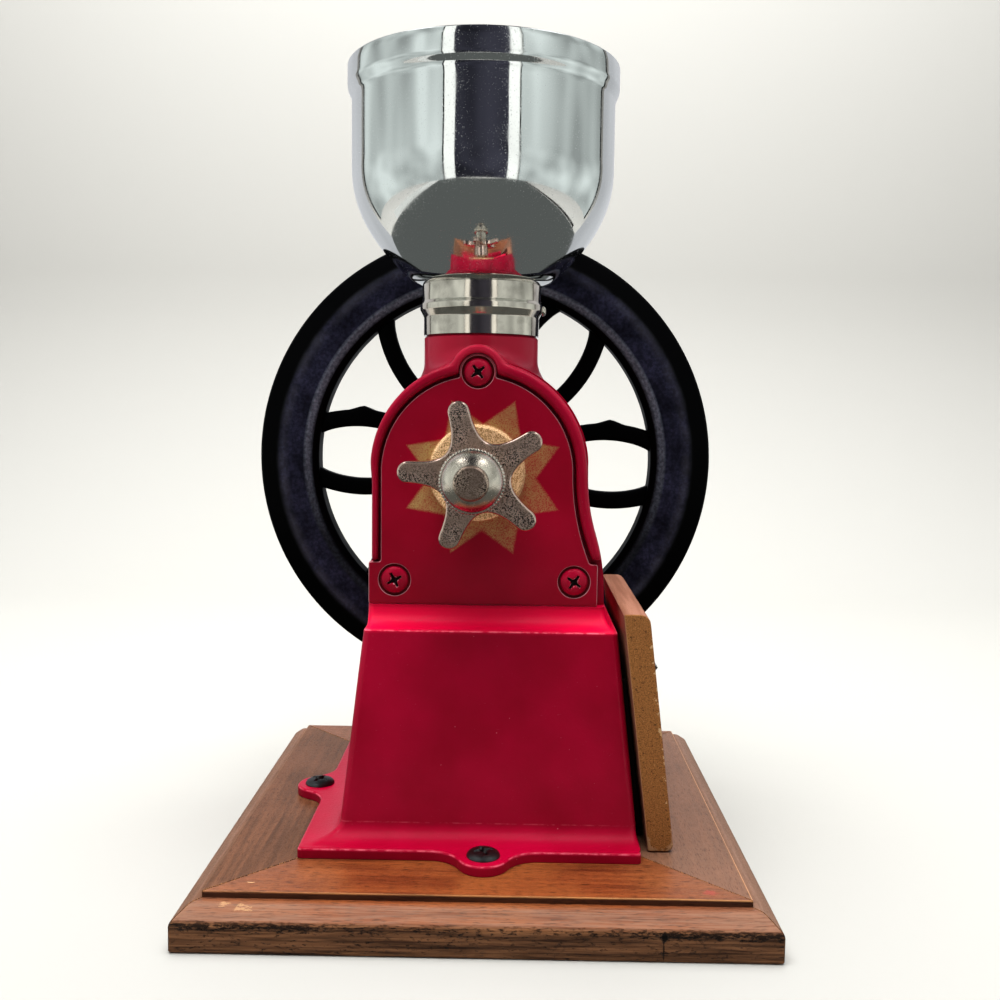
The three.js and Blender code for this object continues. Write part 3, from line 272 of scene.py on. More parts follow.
def rounded(corners, radii, steps=6):
    """Line through corners, each corner turned by a circular arc of its own radius (0 keeps it sharp)."""
    corners = np.array(corners, float)
    radii = np.broadcast_to(radii, len(corners))
    line = []
    for before, corner, after, radius in zip(
        np.roll(corners, 1, axis=0), corners, np.roll(corners, -1, axis=0), radii
    ):
        if radius == 0:
            line.append(corner[None])
            continue
        back = (before - corner) / np.linalg.norm(before - corner)
        on = (after - corner) / np.linalg.norm(after - corner)
        half = math.acos(np.clip(back @ on, -1, 1)) / 2
        middle = corner + (back + on) / np.linalg.norm(back + on) * radius / math.sin(half)
        start = corner + back * radius / math.tan(half) - middle
        end = corner + on * radius / math.tan(half) - middle
        turn = math.pi - 2 * half
        share = np.linspace(0, 1, steps + 1)[:, None]
        arc = np.sin((1 - share) * turn) * start + np.sin(share * turn) * end
        line.append(middle + arc / math.sin(turn))
    return np.vstack(line)


def inset_by(outline, inset):
    """Closed line moved inwards: each point goes along the normal of the line there."""
    along = np.roll(outline, -1, axis=0) - np.roll(outline, 1, axis=0)
    along /= np.linalg.norm(along, axis=1, keepdims=True)
    normal = np.column_stack([-along[:, 1], along[:, 0]])
    following = np.roll(outline, -1, axis=0)
    area = np.sum(outline[:, 0] * following[:, 1] - following[:, 0] * outline[:, 1])
    return outline + normal * inset * np.sign(area)


base_half, rail_width, base_top = 104.0, 54.0, 18.0
mitre_gap, mitre_edge = 0.12, 0.25
side_top, round_reach, ledge_top, step_place = 10.5, 6.0, 15.5, 9.0
rail_corners = [
    (0.0, 0.0), (0.0, side_top), (round_reach, ledge_top), (step_place, ledge_top), (step_place, base_top),
    (rail_width, base_top), (rail_width, 0.0),
]
rail_section = rounded(rail_corners, [1.0, 3.4, 3.6, 0.2, 0.45, 0.2, 0.2], steps=7)
rail_ends = []
for side, inset in ((-1, mitre_edge), (-1, 0.0), (1, 0.0), (1, mitre_edge)):
    section = inset_by(rail_section, inset)
    end = base_half - section[:, 0] - mitre_gap - (0.0 if inset else mitre_edge)
    rail_ends.append(np.column_stack([side * end, section[:, 0] - base_half, section[:, 1]]))
rail_grid = np.array(rail_ends)
# The long faces get points along their length.
rail_shares = np.linspace(0, 1, 61)[:, None, None]
rail_grid = np.concatenate([
    rail_grid[:1], rail_grid[1] + rail_shares * (rail_grid[2] - rail_grid[1]), rail_grid[3:],
])


def closed_skin(grid):
    """Grid whose columns run round, with a flat face over its first and its last row."""
    points, faces = skin(grid)
    count = grid.shape[1]
    last = len(points) - count
    return points, faces + [list(range(count)), list(range(last, last + count))]


def over(node, colour, tint, value, start, end, low=0.0, high=1.0):
    """Colour under a tint, whose share goes from low to high as a value goes from start to end."""
    return node("Mix", node("MapRange", value, start, end, low, high), colour, tint)


def product(node, share, *others):
    """Shares multiplied with each other."""
    for other in others:
        share = node("Math MULTIPLY", share, other)
    return share


def bumped(node, *bumps):
    """Normal of several reliefs, one on the other: each is a height, its depth in mm and its strength."""
    below = {}
    for height, depth, strength in bumps:
        normal = node("Bump", {"Height": height, "Distance": depth * MM, "Strength": strength, **below})
        below = {"Normal": normal}
    return normal


def near(node, value, middle, outer, inner, strength=1.0):
    """Share that has its strength within an inner reach of a middle and is gone by the outer reach."""
    off = node("Math ABSOLUTE", node("Math SUBTRACT", value, middle * MM))
    return node("MapRange", off, outer * MM, inner * MM, 0.0, strength)


def varnished_hardwood(name, along_x, tones, shine):
    """Mahogany-like hardwood under worn satin varnish: fine open pores drawn out along the rail, a
    thin line where two rails meet, rubbed arrises with a painted highlight, a riser darkened by painted
    shade, a rounded edge worn greyer under a painted sheen and a rough outer face of layers. The tones
    are the dark and the light figure, the patches and the pale of the rubbed and highlit arrises."""
    figure_dark, figure_light, patch, rubbed = [linear(tone) for tone in tones]
    made, node, here = new_material(name)
    parts = node("SeparateXYZ", here).node.outputs
    height = parts[2]
    across_x = node("Math ABSOLUTE", parts[0])
    across_y = node("Math ABSOLUTE", parts[1])
    outwards = node("Math MAXIMUM", across_x, across_y)
    places = []
    for drawn_out in (0.1, 0.035, 0.3):
        stretch = (drawn_out, 1.0, 1.0) if along_x else (1.0, drawn_out, 1.0)
        places.append(node("Mapping", {"Vector": here, "Scale": stretch}))
    short_grain, long_grain, torn_grain = places
    pores = node("TexNoise", short_grain, 1 / (0.4 * MM), 3.0)
    figure = node("TexNoise", long_grain, 1 / (2.6 * MM), 4.0)
    blotch = node("TexNoise", here, 1 / (26.0 * MM), 3.0)
    dust = node("TexNoise", here, 1 / (0.7 * MM), 4.0)
    colour = over(node, figure_dark, figure_light, figure, 0.34, 0.68)
    colour = over(node, colour, patch, blotch, 0.42, 0.68, 0.0, 0.55)
    if along_x:
        # The orange of the front rail fades to brown at its two ends and on the rear rail.
        faded = node("MapRange", across_x, 48.0 * MM, 96.0 * MM, 0.0, 0.6)
        at_rear = node("MapRange", parts[1], 0.0, 20.0 * MM, 0.0, 0.75)
        faded = node("Math MAXIMUM", faded, at_rear)
        colour = node("Mix", faded, colour, "#74503c")
    else:
        # The right rail is painted a little paler and greyer than the left one.
        colour = over(node, colour, "#8c6f60", parts[0], 0.0, 30.0 * MM, 0.0, 0.3)
    colour = over(node, colour, "#2b150b", pores, 0.46, 0.37, 0.0, 0.72 if along_x else 0.42)
    # Where two rails meet the joint is a thin pale line, ragged and partly dark on the left.
    wander = node("MapRange", dust, 0.3, 0.7, -0.7 * MM, 0.7 * MM)
    wander = product(node, wander, node("MapRange", parts[0], 0.0, -1.0 * MM, 0.25, 1.0))
    off_mitre = node("Math ADD", node("Math SUBTRACT", across_x, across_y), wander)
    off_mitre = node("Math ABSOLUTE", off_mitre)
    mitre_colour = over(node, "#2a160c", "#b07f52", pores, 0.4, 0.56)
    colour = over(node, colour, mitre_colour, off_mitre, 0.5 * MM, 0.25 * MM, 0.0, 0.7)
    # Along the top arris of the step the varnish is rubbed pale and carries a painted highlight, stronger
    # towards the right.
    step_reach = base_half - step_place
    arris = near(node, outwards, step_reach - 0.2, 0.42, 0.15)
    on_top = node("MapRange", height, (base_top - 0.7) * MM, (base_top - 0.4) * MM)
    rub_and_highlight_side = node("MapRange", parts[0], -70.0 * MM, 60.0 * MM, 0.25, 0.9)
    rub_and_highlight_share = product(node, node("MapRange", figure, 0.36, 0.56, 0.35), rub_and_highlight_side)
    colour = node("Mix", product(node, arris, on_top, rub_and_highlight_share), colour, rubbed)
    # The rounded outer edge is worn greyer and carries a painted sheen, in pale streaks.
    round_wear_and_sheen = node("MapRange", outwards, 95.5 * MM, 99.0 * MM, 0.0, 0.62)
    fine_grain = node("TexNoise", long_grain, 1 / (0.55 * MM), 3.0)
    round_wear_and_sheen = product(node, round_wear_and_sheen, node("MapRange", fine_grain, 0.38, 0.62, 0.35))
    colour = node("Mix", round_wear_and_sheen, colour, "#8c6a56")
    # The upright outer face shows the thin layers of the wood, ochre and dark, with a torn dark band.
    layers = node("TexNoise", long_grain, 1 / (1.1 * MM), 5.0, 0.65)
    layer_colour = over(node, "#342013", "#8a6040", layers, 0.36, 0.64)
    low_side = node("MapRange", height, 11.6 * MM, 10.2 * MM, 0.0, 0.92)
    colour = node("Mix", low_side, colour, layer_colour)
    torn = node("TexNoise", torn_grain, 1 / (0.75 * MM), 5.0, 0.75)
    near_corner = node("MapRange", across_x, 40.0 * MM, 68.0 * MM, 0.35)
    band = product(node, near(node, height, 9.7, 2.2, 0.5, 0.15), near_corner)
    torn_share = node("MapRange", node("Math ADD", torn, band), 0.58, 0.66)
    torn_share = product(node, torn_share, low_side)
    colour = node("Mix", torn_share, colour, "#1a0f09")
    # The riser of the step, below its top arris, is darkened with painted shade.
    riser = node("MapRange", height, ledge_top * MM, (ledge_top + 0.2) * MM)
    riser_shade_reach = near(node, outwards, step_reach + 0.05, 0.35, 0.2)
    below_top = node("MapRange", height, (base_top - 0.4) * MM, (base_top - 0.8) * MM, 0.0, 0.75)
    colour = node("Mix", product(node, riser, riser_shade_reach, below_top), colour, "#331b10")
    sunk = torn_share
    if along_x:
        # Marks of use on the front rail, each a centre, a reach, a tint, its strength and how ragged it
        #         is: a broken-out notch in the outer face, which is also sunk and whose near-black is
        #             painted shade
        #         in the hollow, a scratch below it, pale knocks at the left end of the ledge and a rub of
        #         crimson enamel on the right.
        marks = [
            ((63.6, -base_half, 8.8), (1.2, 9.0, 1.7), "#0c0604", 0.95, 0.25),
            ((63.3, -base_half, 4.0), (0.35, 9.0, 4.0), "#1a0f08", 0.8, 0.3),
            ((-80.0, -99.5, ledge_top), (2.6, 1.0, 3.0), "#b78f66", 0.6, 0.9),
            ((-86.5, -98.3, ledge_top), (1.8, 0.7, 3.0), "#b78f66", 0.55, 0.9),
            ((-79.5, -87.9, base_top), (1.5, 0.5, 3.0), "#c49c70", 0.7, 0.7),
            ((81.2, -89.6, base_top), (2.4, 1.9, 3.0), "#a8303a", 0.34, 0.7),
        ]
        for number, (centre, reach, tint, strength, ragged) in enumerate(marks):
            moved = node("VectorMath SUBTRACT", here, [place * MM for place in centre])
            scaled = node("VectorMath MULTIPLY", moved, [1 / (size * MM) for size in reach])
            rough_edge = node("MapRange", torn, 0.35, 0.65, -ragged, ragged)
            away = node("Math ADD", node("VectorMath LENGTH", scaled), rough_edge)
            share = node("MapRange", away, 1.0, 0.75, 0.0, strength)
            colour = node("Mix", share, colour, tint)
            if number == 0:
                sunk = node("Math MAXIMUM", torn_share, share)
    gloss = node("MapRange", dust, 0.3, 0.7, 0.3, 0.5)
    rise = node("Math SUBTRACT", 1.0, sunk)
    relief = bumped(node, (pores, 0.07, 1.0), (figure, 0.1, 0.6), (rise, 0.6, 0.8))
    return finished(made, {
        "Base Color": colour, "Roughness": gloss, "Specular IOR Level": shine, "Coat Weight": 0.1,
        "Coat Roughness": 0.22, "Normal": relief,
    })


hardwood_along_x = varnished_hardwood(
    "varnished_hardwood_along_x", True, ("#5a2c17", "#844927", "#8e552e", "#b98855"), 0.28,
)
hardwood_along_y = varnished_hardwood(
    "varnished_hardwood_along_y", False, ("#4c3221", "#66442f", "#714c37", "#ab805a"), 0.17,
)
for turn, side in enumerate(("front", "right", "rear", "left")):
    quarter = turn * math.pi / 2
    spin = np.array([
        [round(math.cos(quarter)), round(math.sin(quarter)), 0],
        [-round(math.sin(quarter)), round(math.cos(quarter)), 0],
        [0, 0, 1],
    ])
    piece(
        f"moulded_rail_{side}", [closed_skin(rail_grid @ spin)], "mill",
        hardwood_along_y if turn % 2 else hardwood_along_x,
        replaces=[f"base_rail_{side}"], sharp_degrees=50, flat_faces=True,
    )


# Centre panel of the base: a square of plain plywood under the body, let in between the rails.
def plain_ply(name, dark, light, pore):
    """Plywood, sanded and bare or near black: figure in long soft bands with fine short pores."""
    made, node, here = new_material(name)
    drawn_out = node("Mapping", {"Vector": here, "Scale": (0.08, 1.0, 1.0)})
    bands = node("TexNoise", drawn_out, 1 / (6.0 * MM), 4.0)
    pores = node("TexNoise", drawn_out, 1 / (0.8 * MM), 2.0)
    colour = over(node, dark, light, bands, 0.35, 0.65)
    colour = over(node, colour, pore, pores, 0.42, 0.34, 0.0, 0.5)
    relief = bumped(node, (pores, 0.05, 0.8))
    return finished(made, {"Base Color": colour, "Roughness": 0.62, "Normal": relief})


def dress(node, material, edge=0.3):
    """Keeps a CAD node as it is, with a material of its own and a small bevel on its corners."""
    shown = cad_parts[node]
    shown.data.materials.clear()
    shown.data.materials.append(material)
    weld = shown.modifiers.new("one_skin", "WELD")
    weld.merge_threshold = 0.002 * MM
    bevel = shown.modifiers.new("soft_corners", "BEVEL")
    bevel.width = edge * MM
    bevel.segments = 2
    bevel.limit_method = "ANGLE"
    bevel.angle_limit = math.radians(40)


dress("base_centre_panel", plain_ply("sanded_birch_plywood", "#a87b4c", "#c79c6a", "#6f4a2a"))


# Body casting: cast iron under a thick coat of crimson enamel. A tapered box with a foot flange and
# three screw lugs carries an arched housing with a raised lip round its cover plate, and a round
# neck for the hopper. The foundry's soft corners and a slight waviness show through the gloss.
def arc(middle, radius, start, end, count):
    """Points on a circle between two angles in radians."""
    angle = np.linspace(start, end, count)
    return np.column_stack([middle[0] + radius * np.cos(angle), middle[1] + radius * np.sin(angle)])


def evenly(points, spacing):
    """Closed line walked at an even pace, a point at every step."""
    closed = np.vstack([points, points[:1]])
    walked = np.concatenate([[0], np.cumsum(np.linalg.norm(np.diff(closed, axis=0), axis=1))])
    places = np.linspace(0, walked[-1], int(round(walked[-1] / spacing)), endpoint=False)
    return np.column_stack([np.interp(places, walked, closed[:, axis]) for axis in (0, 1)])


def soften(points, reach, loop=True):
    """Each point becomes the mean of its neighbours up to reach steps away, the near ones counting
    most (a raised cosine), which turns corners round and leaves straight runs straight."""
    steps = np.arange(-reach, reach + 1)
    weights = 1 + np.cos(np.pi * steps / (reach + 1))
    weights /= weights.sum()
    if loop:
        padded = np.pad(points, ((reach, reach), (0, 0)), mode="wrap")
    else:
        padded = np.pad(points, ((reach, reach), (0, 0)), mode="reflect", reflect_type="odd")
    return np.column_stack([np.convolve(padded[:, axis], weights, mode="valid") for axis in (0, 1)])


def slab(outline, rings):
    """Solid with one outline: ring by ring the outline is moved inwards and stands at a depth.
    Its points are (across, up, depth)."""
    rows = [
        np.column_stack([inset_by(outline, inset), np.full(len(outline), depth)]) for inset, depth in rings
    ]
    return closed_skin(np.array(rows))


def edge_rings(start, end, start_radius, end_radius, steps=5):
    """Rings of (inset, depth) for a slab whose two edges are quarter rounds."""
    turn = np.linspace(0, math.pi / 2, steps + 1)
    toward = math.copysign(1.0, end - start)
    first = np.column_stack([1 - np.sin(turn), toward * (1 - np.cos(turn))]) * start_radius + [0, start]
    last = np.column_stack([1 - np.cos(turn), toward * (np.sin(turn) - 1)]) * end_radius + [0, end]
    return [*first, *last]


def turned(profile, count=96):
    """Surface of revolution: each (radius, depth) of the profile becomes a ring of (across, up, depth)."""
    profile = np.array(profile, float)
    angle = np.linspace(0, 2 * np.pi, count, endpoint=False)
    across_up = profile[:, :1, None] * np.stack([np.cos(angle), np.sin(angle)])[None]
    depth = np.broadcast_to(profile[:, 1, None], (len(profile), count))
    return np.dstack([across_up[:, 0], across_up[:, 1], depth])


def along_y(part, x=0.0, z=0.0):
    """Stands a part of (across, up, depth) with its depth along y, its middle at x and z."""
    points, faces = part
    return np.column_stack([points[:, 0] + x, points[:, 2], points[:, 1] + z]), faces


def along_z(part, x=0.0, y=0.0):
    """Lays a part of (across, up, depth) with its depth along z, its middle at x and y."""
    points, faces = part
    return points + np.array([x, y, 0.0]), faces


shaft_x, shaft_z = -3.5, 160.0


def lathed(line, count=96, closed=False, middle=(shaft_x, shaft_z)):
    """Surface turned from a line of (radius, depth) about a level axis, the shaft's if no other."""
    return along_y(skin(turned(line, count), round_rows=closed), *middle)


foot_low, foot_top = 18.0, 22.0
foot_reach, foot_right = 67.8, 59.9
lug_nose, lug_radius, flank_radius, lug_shift = 3.6, 9.6, 12.0, 1.5
lug_spread = math.sqrt((lug_radius + flank_radius) ** 2 - (flank_radius - lug_nose) ** 2)
lug_angle = math.atan2(flank_radius - lug_nose, lug_spread)
lug_line = np.vstack([
    arc((-lug_spread, flank_radius), flank_radius, -math.pi / 2, -lug_angle, 12),
    arc((0.0, lug_nose), lug_radius, math.pi - lug_angle, lug_angle, 24),
    arc((lug_spread, flank_radius), flank_radius, math.pi + lug_angle, 1.5 * math.pi, 12),
])
# The foot's outline runs clockwise seen from above: left side, rear, right side, front.
foot_outline = np.vstack([
    [(-foot_reach, -foot_reach)],
    np.column_stack([-foot_reach - lug_line[:, 1], lug_line[:, 0]]),
    [(-foot_reach, foot_reach)],
    np.column_stack([lug_line[:, 0] + lug_shift, foot_reach + lug_line[:, 1]]),
    [(foot_right, foot_reach)],
    [(foot_right, -foot_reach)],
    np.column_stack([-lug_line[:, 0] + lug_shift, -foot_reach - lug_line[:, 1]]),
])
foot_outline = soften(evenly(foot_outline, 0.8), 3)
foot = along_z(slab(foot_outline, edge_rings(foot_low, foot_top, 0.3, 1.2)))


def level_rings(rings, corner_steps=6):
    """Loft through level rectangles with round corners. Each ring is (height, left, right, front,
    back, corner radius); a corner is an arc about its own centre."""
    turn = np.linspace(0, math.pi / 2, corner_steps + 1)
    rows = []
    for height, left, right, front, back, radius in rings:
        corners = [
            (right - radius, back - radius, 0.0), (-left + radius, back - radius, 0.5 * math.pi),
            (-left + radius, -front + radius, math.pi), (right - radius, -front + radius, 1.5 * math.pi),
        ]
        ring = np.vstack([
            np.column_stack([x + radius * np.cos(turn + start), y + radius * np.sin(turn + start)])
            for x, y, start in corners
        ])
        rows.append(np.column_stack([ring, np.full(len(ring), height)]))
    return closed_skin(np.array(rows))


cove_steps = 9
cove_turn = np.linspace(0, math.pi / 2, cove_steps + 1)
foot_plan = np.array([66.0, 59.9, 66.0, 66.0])
taper_low_plan = np.array([53.5, 58.9, 57.0, 57.0])
taper_high_plan = np.array([46.2, 51.5, 47.0, 47.0])
shelf_plan = np.array([45.6, 47.1, 37.2, 38.0])
cove_low, cove_top, taper_top, shelf_top = 22.0, 28.5, 100.0, 108.0
arris, foot_corner, skirt_corner, shelf_corner = 0.9, 2.2, 2.6, 2.4
skirt_rings = [(foot_low + 2.0, *foot_plan, foot_corner)]
for turn in cove_turn:
    plan = foot_plan + (taper_low_plan - foot_plan) * math.sin(turn)
    skirt_rings.append((cove_low + (cove_top - cove_low) * (1 - math.cos(turn)), *plan, skirt_corner))
for share in (0.25, 0.5, 0.75):
    plan = taper_low_plan + (taper_high_plan - taper_low_plan) * share
    skirt_rings.append((cove_top + (taper_top - cove_top) * share, *plan, skirt_corner))
for turn in np.linspace(0, math.pi / 2, 6):
    plan = taper_high_plan - arris * (1 - math.cos(turn))
    skirt_rings.append((taper_top - arris * (1 - math.sin(turn)), *plan, skirt_corner))
for turn in cove_turn[1:]:
    plan = taper_high_plan - arris + (shelf_plan - taper_high_plan + arris) * math.sin(turn)
    skirt_rings.append((taper_top + (shelf_top - taper_top) * (1 - math.cos(turn)), *plan, shelf_corner))
skirt = along_z(level_rings(skirt_rings))


def bezier(points, count):
    """Curve drawn by a few points: the sum of C(n, k) (1 - s)^(n - k) s^k times the point k, at a
    count of even shares s."""
    share = np.linspace(0, 1, count)[:, None]
    last = len(points) - 1
    return sum(
        math.comb(last, k) * (1 - share) ** (last - k) * share ** k * np.array(point)
        for k, point in enumerate(points)
    )


# Housing outline about the shaft: straight left side, right side flared at its foot, arch between.
recess_floor, housing_back, housing_foot = -31.3, 38.0, -54.0
housing_left, housing_right, housing_flare = 41.0, 43.4, 7.2
arch_middle, arch_radius = (1.2, 1.5), 42.4
ear_top, ear_step, ear_fall = -35.4, 1.1, 3.0
flare_reach = housing_right + housing_flare
flare = bezier([
    (flare_reach, -52.0), (flare_reach, -21.84), (housing_right, -26.0), (housing_right, 1.5),
], 30)
spring_angle = math.acos((housing_right + housing_left) / 2 / arch_radius)
housing_outline = np.vstack([
    [(-housing_left - ear_step, housing_foot)], [(flare_reach, housing_foot)], flare,
    arc(arch_middle, arch_radius, spring_angle, math.pi - spring_angle, 90),
    [(-housing_left, ear_top)], [(-housing_left - ear_step, ear_top - ear_fall)],
])
housing_outline = soften(evenly(housing_outline, 0.8), 2)
housing_rings = edge_rings(recess_floor, housing_back, 0.02, 2.6, steps=7)
housing = along_y(slab(housing_outline, housing_rings), shaft_x, shaft_z)


def walked_line(stretches, counts):
    """Stretches of a line, each walked in its own count of even steps, joined end to start."""
    out = []
    for stretch, count in zip(stretches, counts):
        stretch = np.array(stretch, float)
        walked = np.concatenate([[0], np.cumsum(np.linalg.norm(np.diff(stretch, axis=0), axis=1))])
        places = np.linspace(0, walked[-1], count, endpoint=False)
        out.append(np.column_stack([np.interp(places, walked, stretch[:, axis]) for axis in (0, 1)]))
    return np.vstack(out)


# The lip is a bead between the housing's outline and the plate's recess. It climbs round the boss
# of the top screw. Both its edges are walked in the same stretches, so that they stay opposite.
recess_radius = 38.2
boss_middle = 38.8
bead_outer, bead_inner = 10.9, 7.1
lip_counts = (34, 58, 46, 58, 34)


def lip_edge(left_side, arch_mid, radius, boss_radius, right_side):
    """One edge of the lip: up a side, along the arch, round the screw boss and down again."""
    meet_z = (radius ** 2 - boss_radius ** 2 + boss_middle ** 2 - arch_mid[1] ** 2) / (
        2 * (boss_middle - arch_mid[1])
    )
    half = math.sqrt(max(boss_radius ** 2 - (meet_z - boss_middle) ** 2, 0.0))
    start = math.atan2(meet_z - arch_mid[1], -half)
    end = math.atan2(meet_z - arch_mid[1], half)
    first = math.atan2(meet_z - boss_middle, -half) % (2 * math.pi)
    last = math.atan2(meet_z - boss_middle, half)
    return walked_line([
        left_side,
        arc(arch_mid, radius, math.pi, start, 60),
        arc((0.0, boss_middle), boss_radius, first, last, 50),
        arc(arch_mid, radius, end, 0.0, 60),
        right_side,
    ], lip_counts)


right_rows = np.linspace(0.0, ear_top, 24)
outer_right = np.column_stack([np.interp(right_rows, flare[:, 1], flare[:, 0]), right_rows])
outer_edge = lip_edge(
    [(-housing_left, ear_top), (-housing_left, 0.0)], (0.6, 1.2), arch_radius, bead_outer, outer_right,
)
recess_flare = 45.8
recess_right = bezier([
    (recess_radius, 0.0), (recess_radius, ear_top / 2), (recess_flare, ear_top),
], 20)
inner_edge = lip_edge(
    [(-recess_radius, ear_top), (-recess_radius, 0.0)], (0.0, 0.0), recess_radius, bead_inner, recess_right,
)
outer_edge = soften(outer_edge, 5, loop=False)
inner_edge = soften(inner_edge, 3, loop=False)
lip_rise, lip_sunk, lip_end = 5.9, 1.5, 1.8
lip_across = np.linspace(-1, 1, 17)
bead_height = (1 - np.abs(lip_across) ** 3.2) ** (1 / 3.2)
walked = np.concatenate([[0], np.cumsum(np.linalg.norm(np.diff(outer_edge, axis=0), axis=1))])
from_end = np.minimum(walked, walked[-1] - walked)
end_share = np.sqrt(1 - (1 - np.clip(from_end / lip_end, 0, 1)) ** 2)
lip_middle = (outer_edge + inner_edge) / 2
lip_half = (inner_edge - outer_edge) / 2
lip_buried = np.full(len(end_share), lip_sunk)
lip_depths = [lip_buried, *(-lip_rise * height * end_share for height in bead_height), lip_buried]
lip_rows = [
    np.column_stack([lip_middle + lip_half * side * end_share[:, None], recess_floor + depth])
    for side, depth in zip([-1, *lip_across, 1], lip_depths)
]
lip_grid = np.array(lip_rows).transpose(1, 0, 2)
lip = along_y(closed_skin(lip_grid), shaft_x, shaft_z)

# Neck: a round post whose foot flares out in a fillet that lies on the arch.
neck_radius, neck_top, neck_edge = 23.6, 214.2, 0.8
neck_fillet, neck_bite = 7.0, 0.12
neck_foot = neck_radius + neck_fillet
neck_rim = 128
round_angle = np.linspace(0, 2 * np.pi, neck_rim, endpoint=False)
neck_circle = np.column_stack([np.cos(round_angle), np.sin(round_angle)])


def on_arch(radius):
    """Height of the arch's back under a ring about the neck's axis."""
    off_arch = radius * np.cos(round_angle) - arch_middle[0]
    return shaft_z + arch_middle[1] + np.sqrt(arch_radius ** 2 - off_arch ** 2)


neck_rings = [(0.0, neck_top), (neck_radius - neck_edge, neck_top), (neck_radius, neck_top - neck_edge)]
for turn in np.linspace(0, math.pi / 2, 12):
    radius = neck_radius + neck_fillet * (1 - math.cos(turn))
    rise = neck_fillet * (1 - math.sin(turn)) - neck_bite * math.sin(turn)
    neck_rings.append((radius, on_arch(radius) + rise))
neck_rings += [(neck_foot, on_arch(neck_foot) - 3.0), (0.0, on_arch(0.0) - 20.0)]
neck_grid = np.array([
    np.column_stack([radius * neck_circle, height * np.ones(neck_rim)]) for radius, height in neck_rings
])
neck = along_z(skin(neck_grid), shaft_x)
spigot_radius, spigot_low, spigot_top, spigot_edge = 22.2, 200.0, 235.2, 0.5
spigot = along_z(skin(turned([
    (0, spigot_low), (spigot_radius, spigot_low), (spigot_radius, spigot_top - spigot_edge),
    (spigot_radius - spigot_edge, spigot_top), (0, spigot_top),
])), shaft_x)

# Boss behind the top screw: it starts as wide as the bead and runs back into the neck.
top_boss_front, top_boss_run, top_boss_taper = -33.0, 24.0, 2.4
top_boss_radius = bead_outer - 0.6
boss_profile = [(0, top_boss_front)] + [
    (top_boss_radius - top_boss_taper * share ** 2, top_boss_front + top_boss_run * share)
    for share in np.linspace(0, 1, 12)
] + [(0, top_boss_front + top_boss_run)]
top_boss = lathed(boss_profile, 64, middle=(shaft_x, shaft_z + boss_middle))
rear_boss_radius, rear_boss_back = 16.0, 52.0
rear_profile = rounded([
    (0, 30), (19.5, housing_back - 0.5), (rear_boss_radius, housing_back),
    (rear_boss_radius, rear_boss_back), (0, rear_boss_back),
], [0, 0, 2.6, 1.4, 0])
rear_boss = lathed(rear_profile)


def rod(radius, start, end, bore=0.0):
    """Profile of a round bar, or of a tube with a bore, between two depths."""
    return [(bore, start), (radius, start), (radius, end), (bore, end)]


def box(low, high):
    """Rectangular block between two corners, its edges sharp."""
    corner = np.array([(x, y, z) for z in (0, 1) for x, y in ((0, 0), (1, 0), (1, 1), (0, 1))])
    sides = [[0, 3, 2, 1], [4, 5, 6, 7], [0, 1, 5, 4], [1, 2, 6, 5], [2, 3, 7, 6], [3, 0, 4, 7]]
    return np.array(low) + corner * (np.array(high) - np.array(low)), sides


# Hollows: the body below its shelf, the drawer's way in, the fall of the grounds, the burr chamber,
# the auger's throat, the way down from the hopper and the bore for the rear bush.
inside_low_plan, inside_high_plan = (48.5, 53.9, 52.0, 52.0), (41.2, 46.5, 42.0, 42.0)
inside_low, inside_top, inside_corner = 16.0, 92.0, 3.0
burr_chamber, throat, hopper_way, rear_bore = 29.0, 25.5, 17.0, 9.2
hollows = [
    along_z(level_rings([
        (inside_low, *inside_low_plan, inside_corner), (cove_top, *inside_low_plan, inside_corner),
        (inside_top, *inside_high_plan, inside_corner),
    ])),
    box((0.0, -43.0, inside_low), (66.0, 27.0, 90.0)),
    box((-25.5, -28.0, inside_top - 4.0), (18.5, -6.0, 150.0)),
    lathed(rod(burr_chamber, -30.6, -7.8), 64),
    lathed(rod(throat, -9.0, 24.0), 64),
    along_z(skin(turned(rod(hopper_way, shaft_z, 240.0), 64)), shaft_x),
    lathed(rod(rear_bore, 10.0, 55.0), 64),
]


def cut_and_joined(name, solids, hollows, sharp_degrees):
    """One skin of several closed solids, less several hollows."""
    base, *others = [
        bpy.data.objects.new(f"{name}_{number}", new_mesh(name, [part], sharp_degrees))
        for number, part in enumerate([*solids, *hollows])
    ]
    for number, other in enumerate([base, *others]):
        bpy.context.scene.collection.objects.link(other)
        if number:
            joint = base.modifiers.new(f"joint_{number}", "BOOLEAN")
            joint.operation = "UNION" if number < len(solids) else "DIFFERENCE"
            joint.solver = "MANIFOLD"
            joint.object = other
    bpy.context.view_layer.update()
    shown = base.evaluated_get(bpy.context.evaluated_depsgraph_get())
    points = np.zeros(len(shown.data.vertices) * 3)
    shown.data.vertices.foreach_get("co", points)
    faces = [list(polygon.vertices) for polygon in shown.data.polygons]
    for used in [base, *others]:
        bpy.data.objects.remove(used)
    return points.reshape(-1, 3) / MM, faces


casting = cut_and_joined("casting", [skirt, foot, housing, neck, spigot, top_boss, rear_boss], hollows, 35)


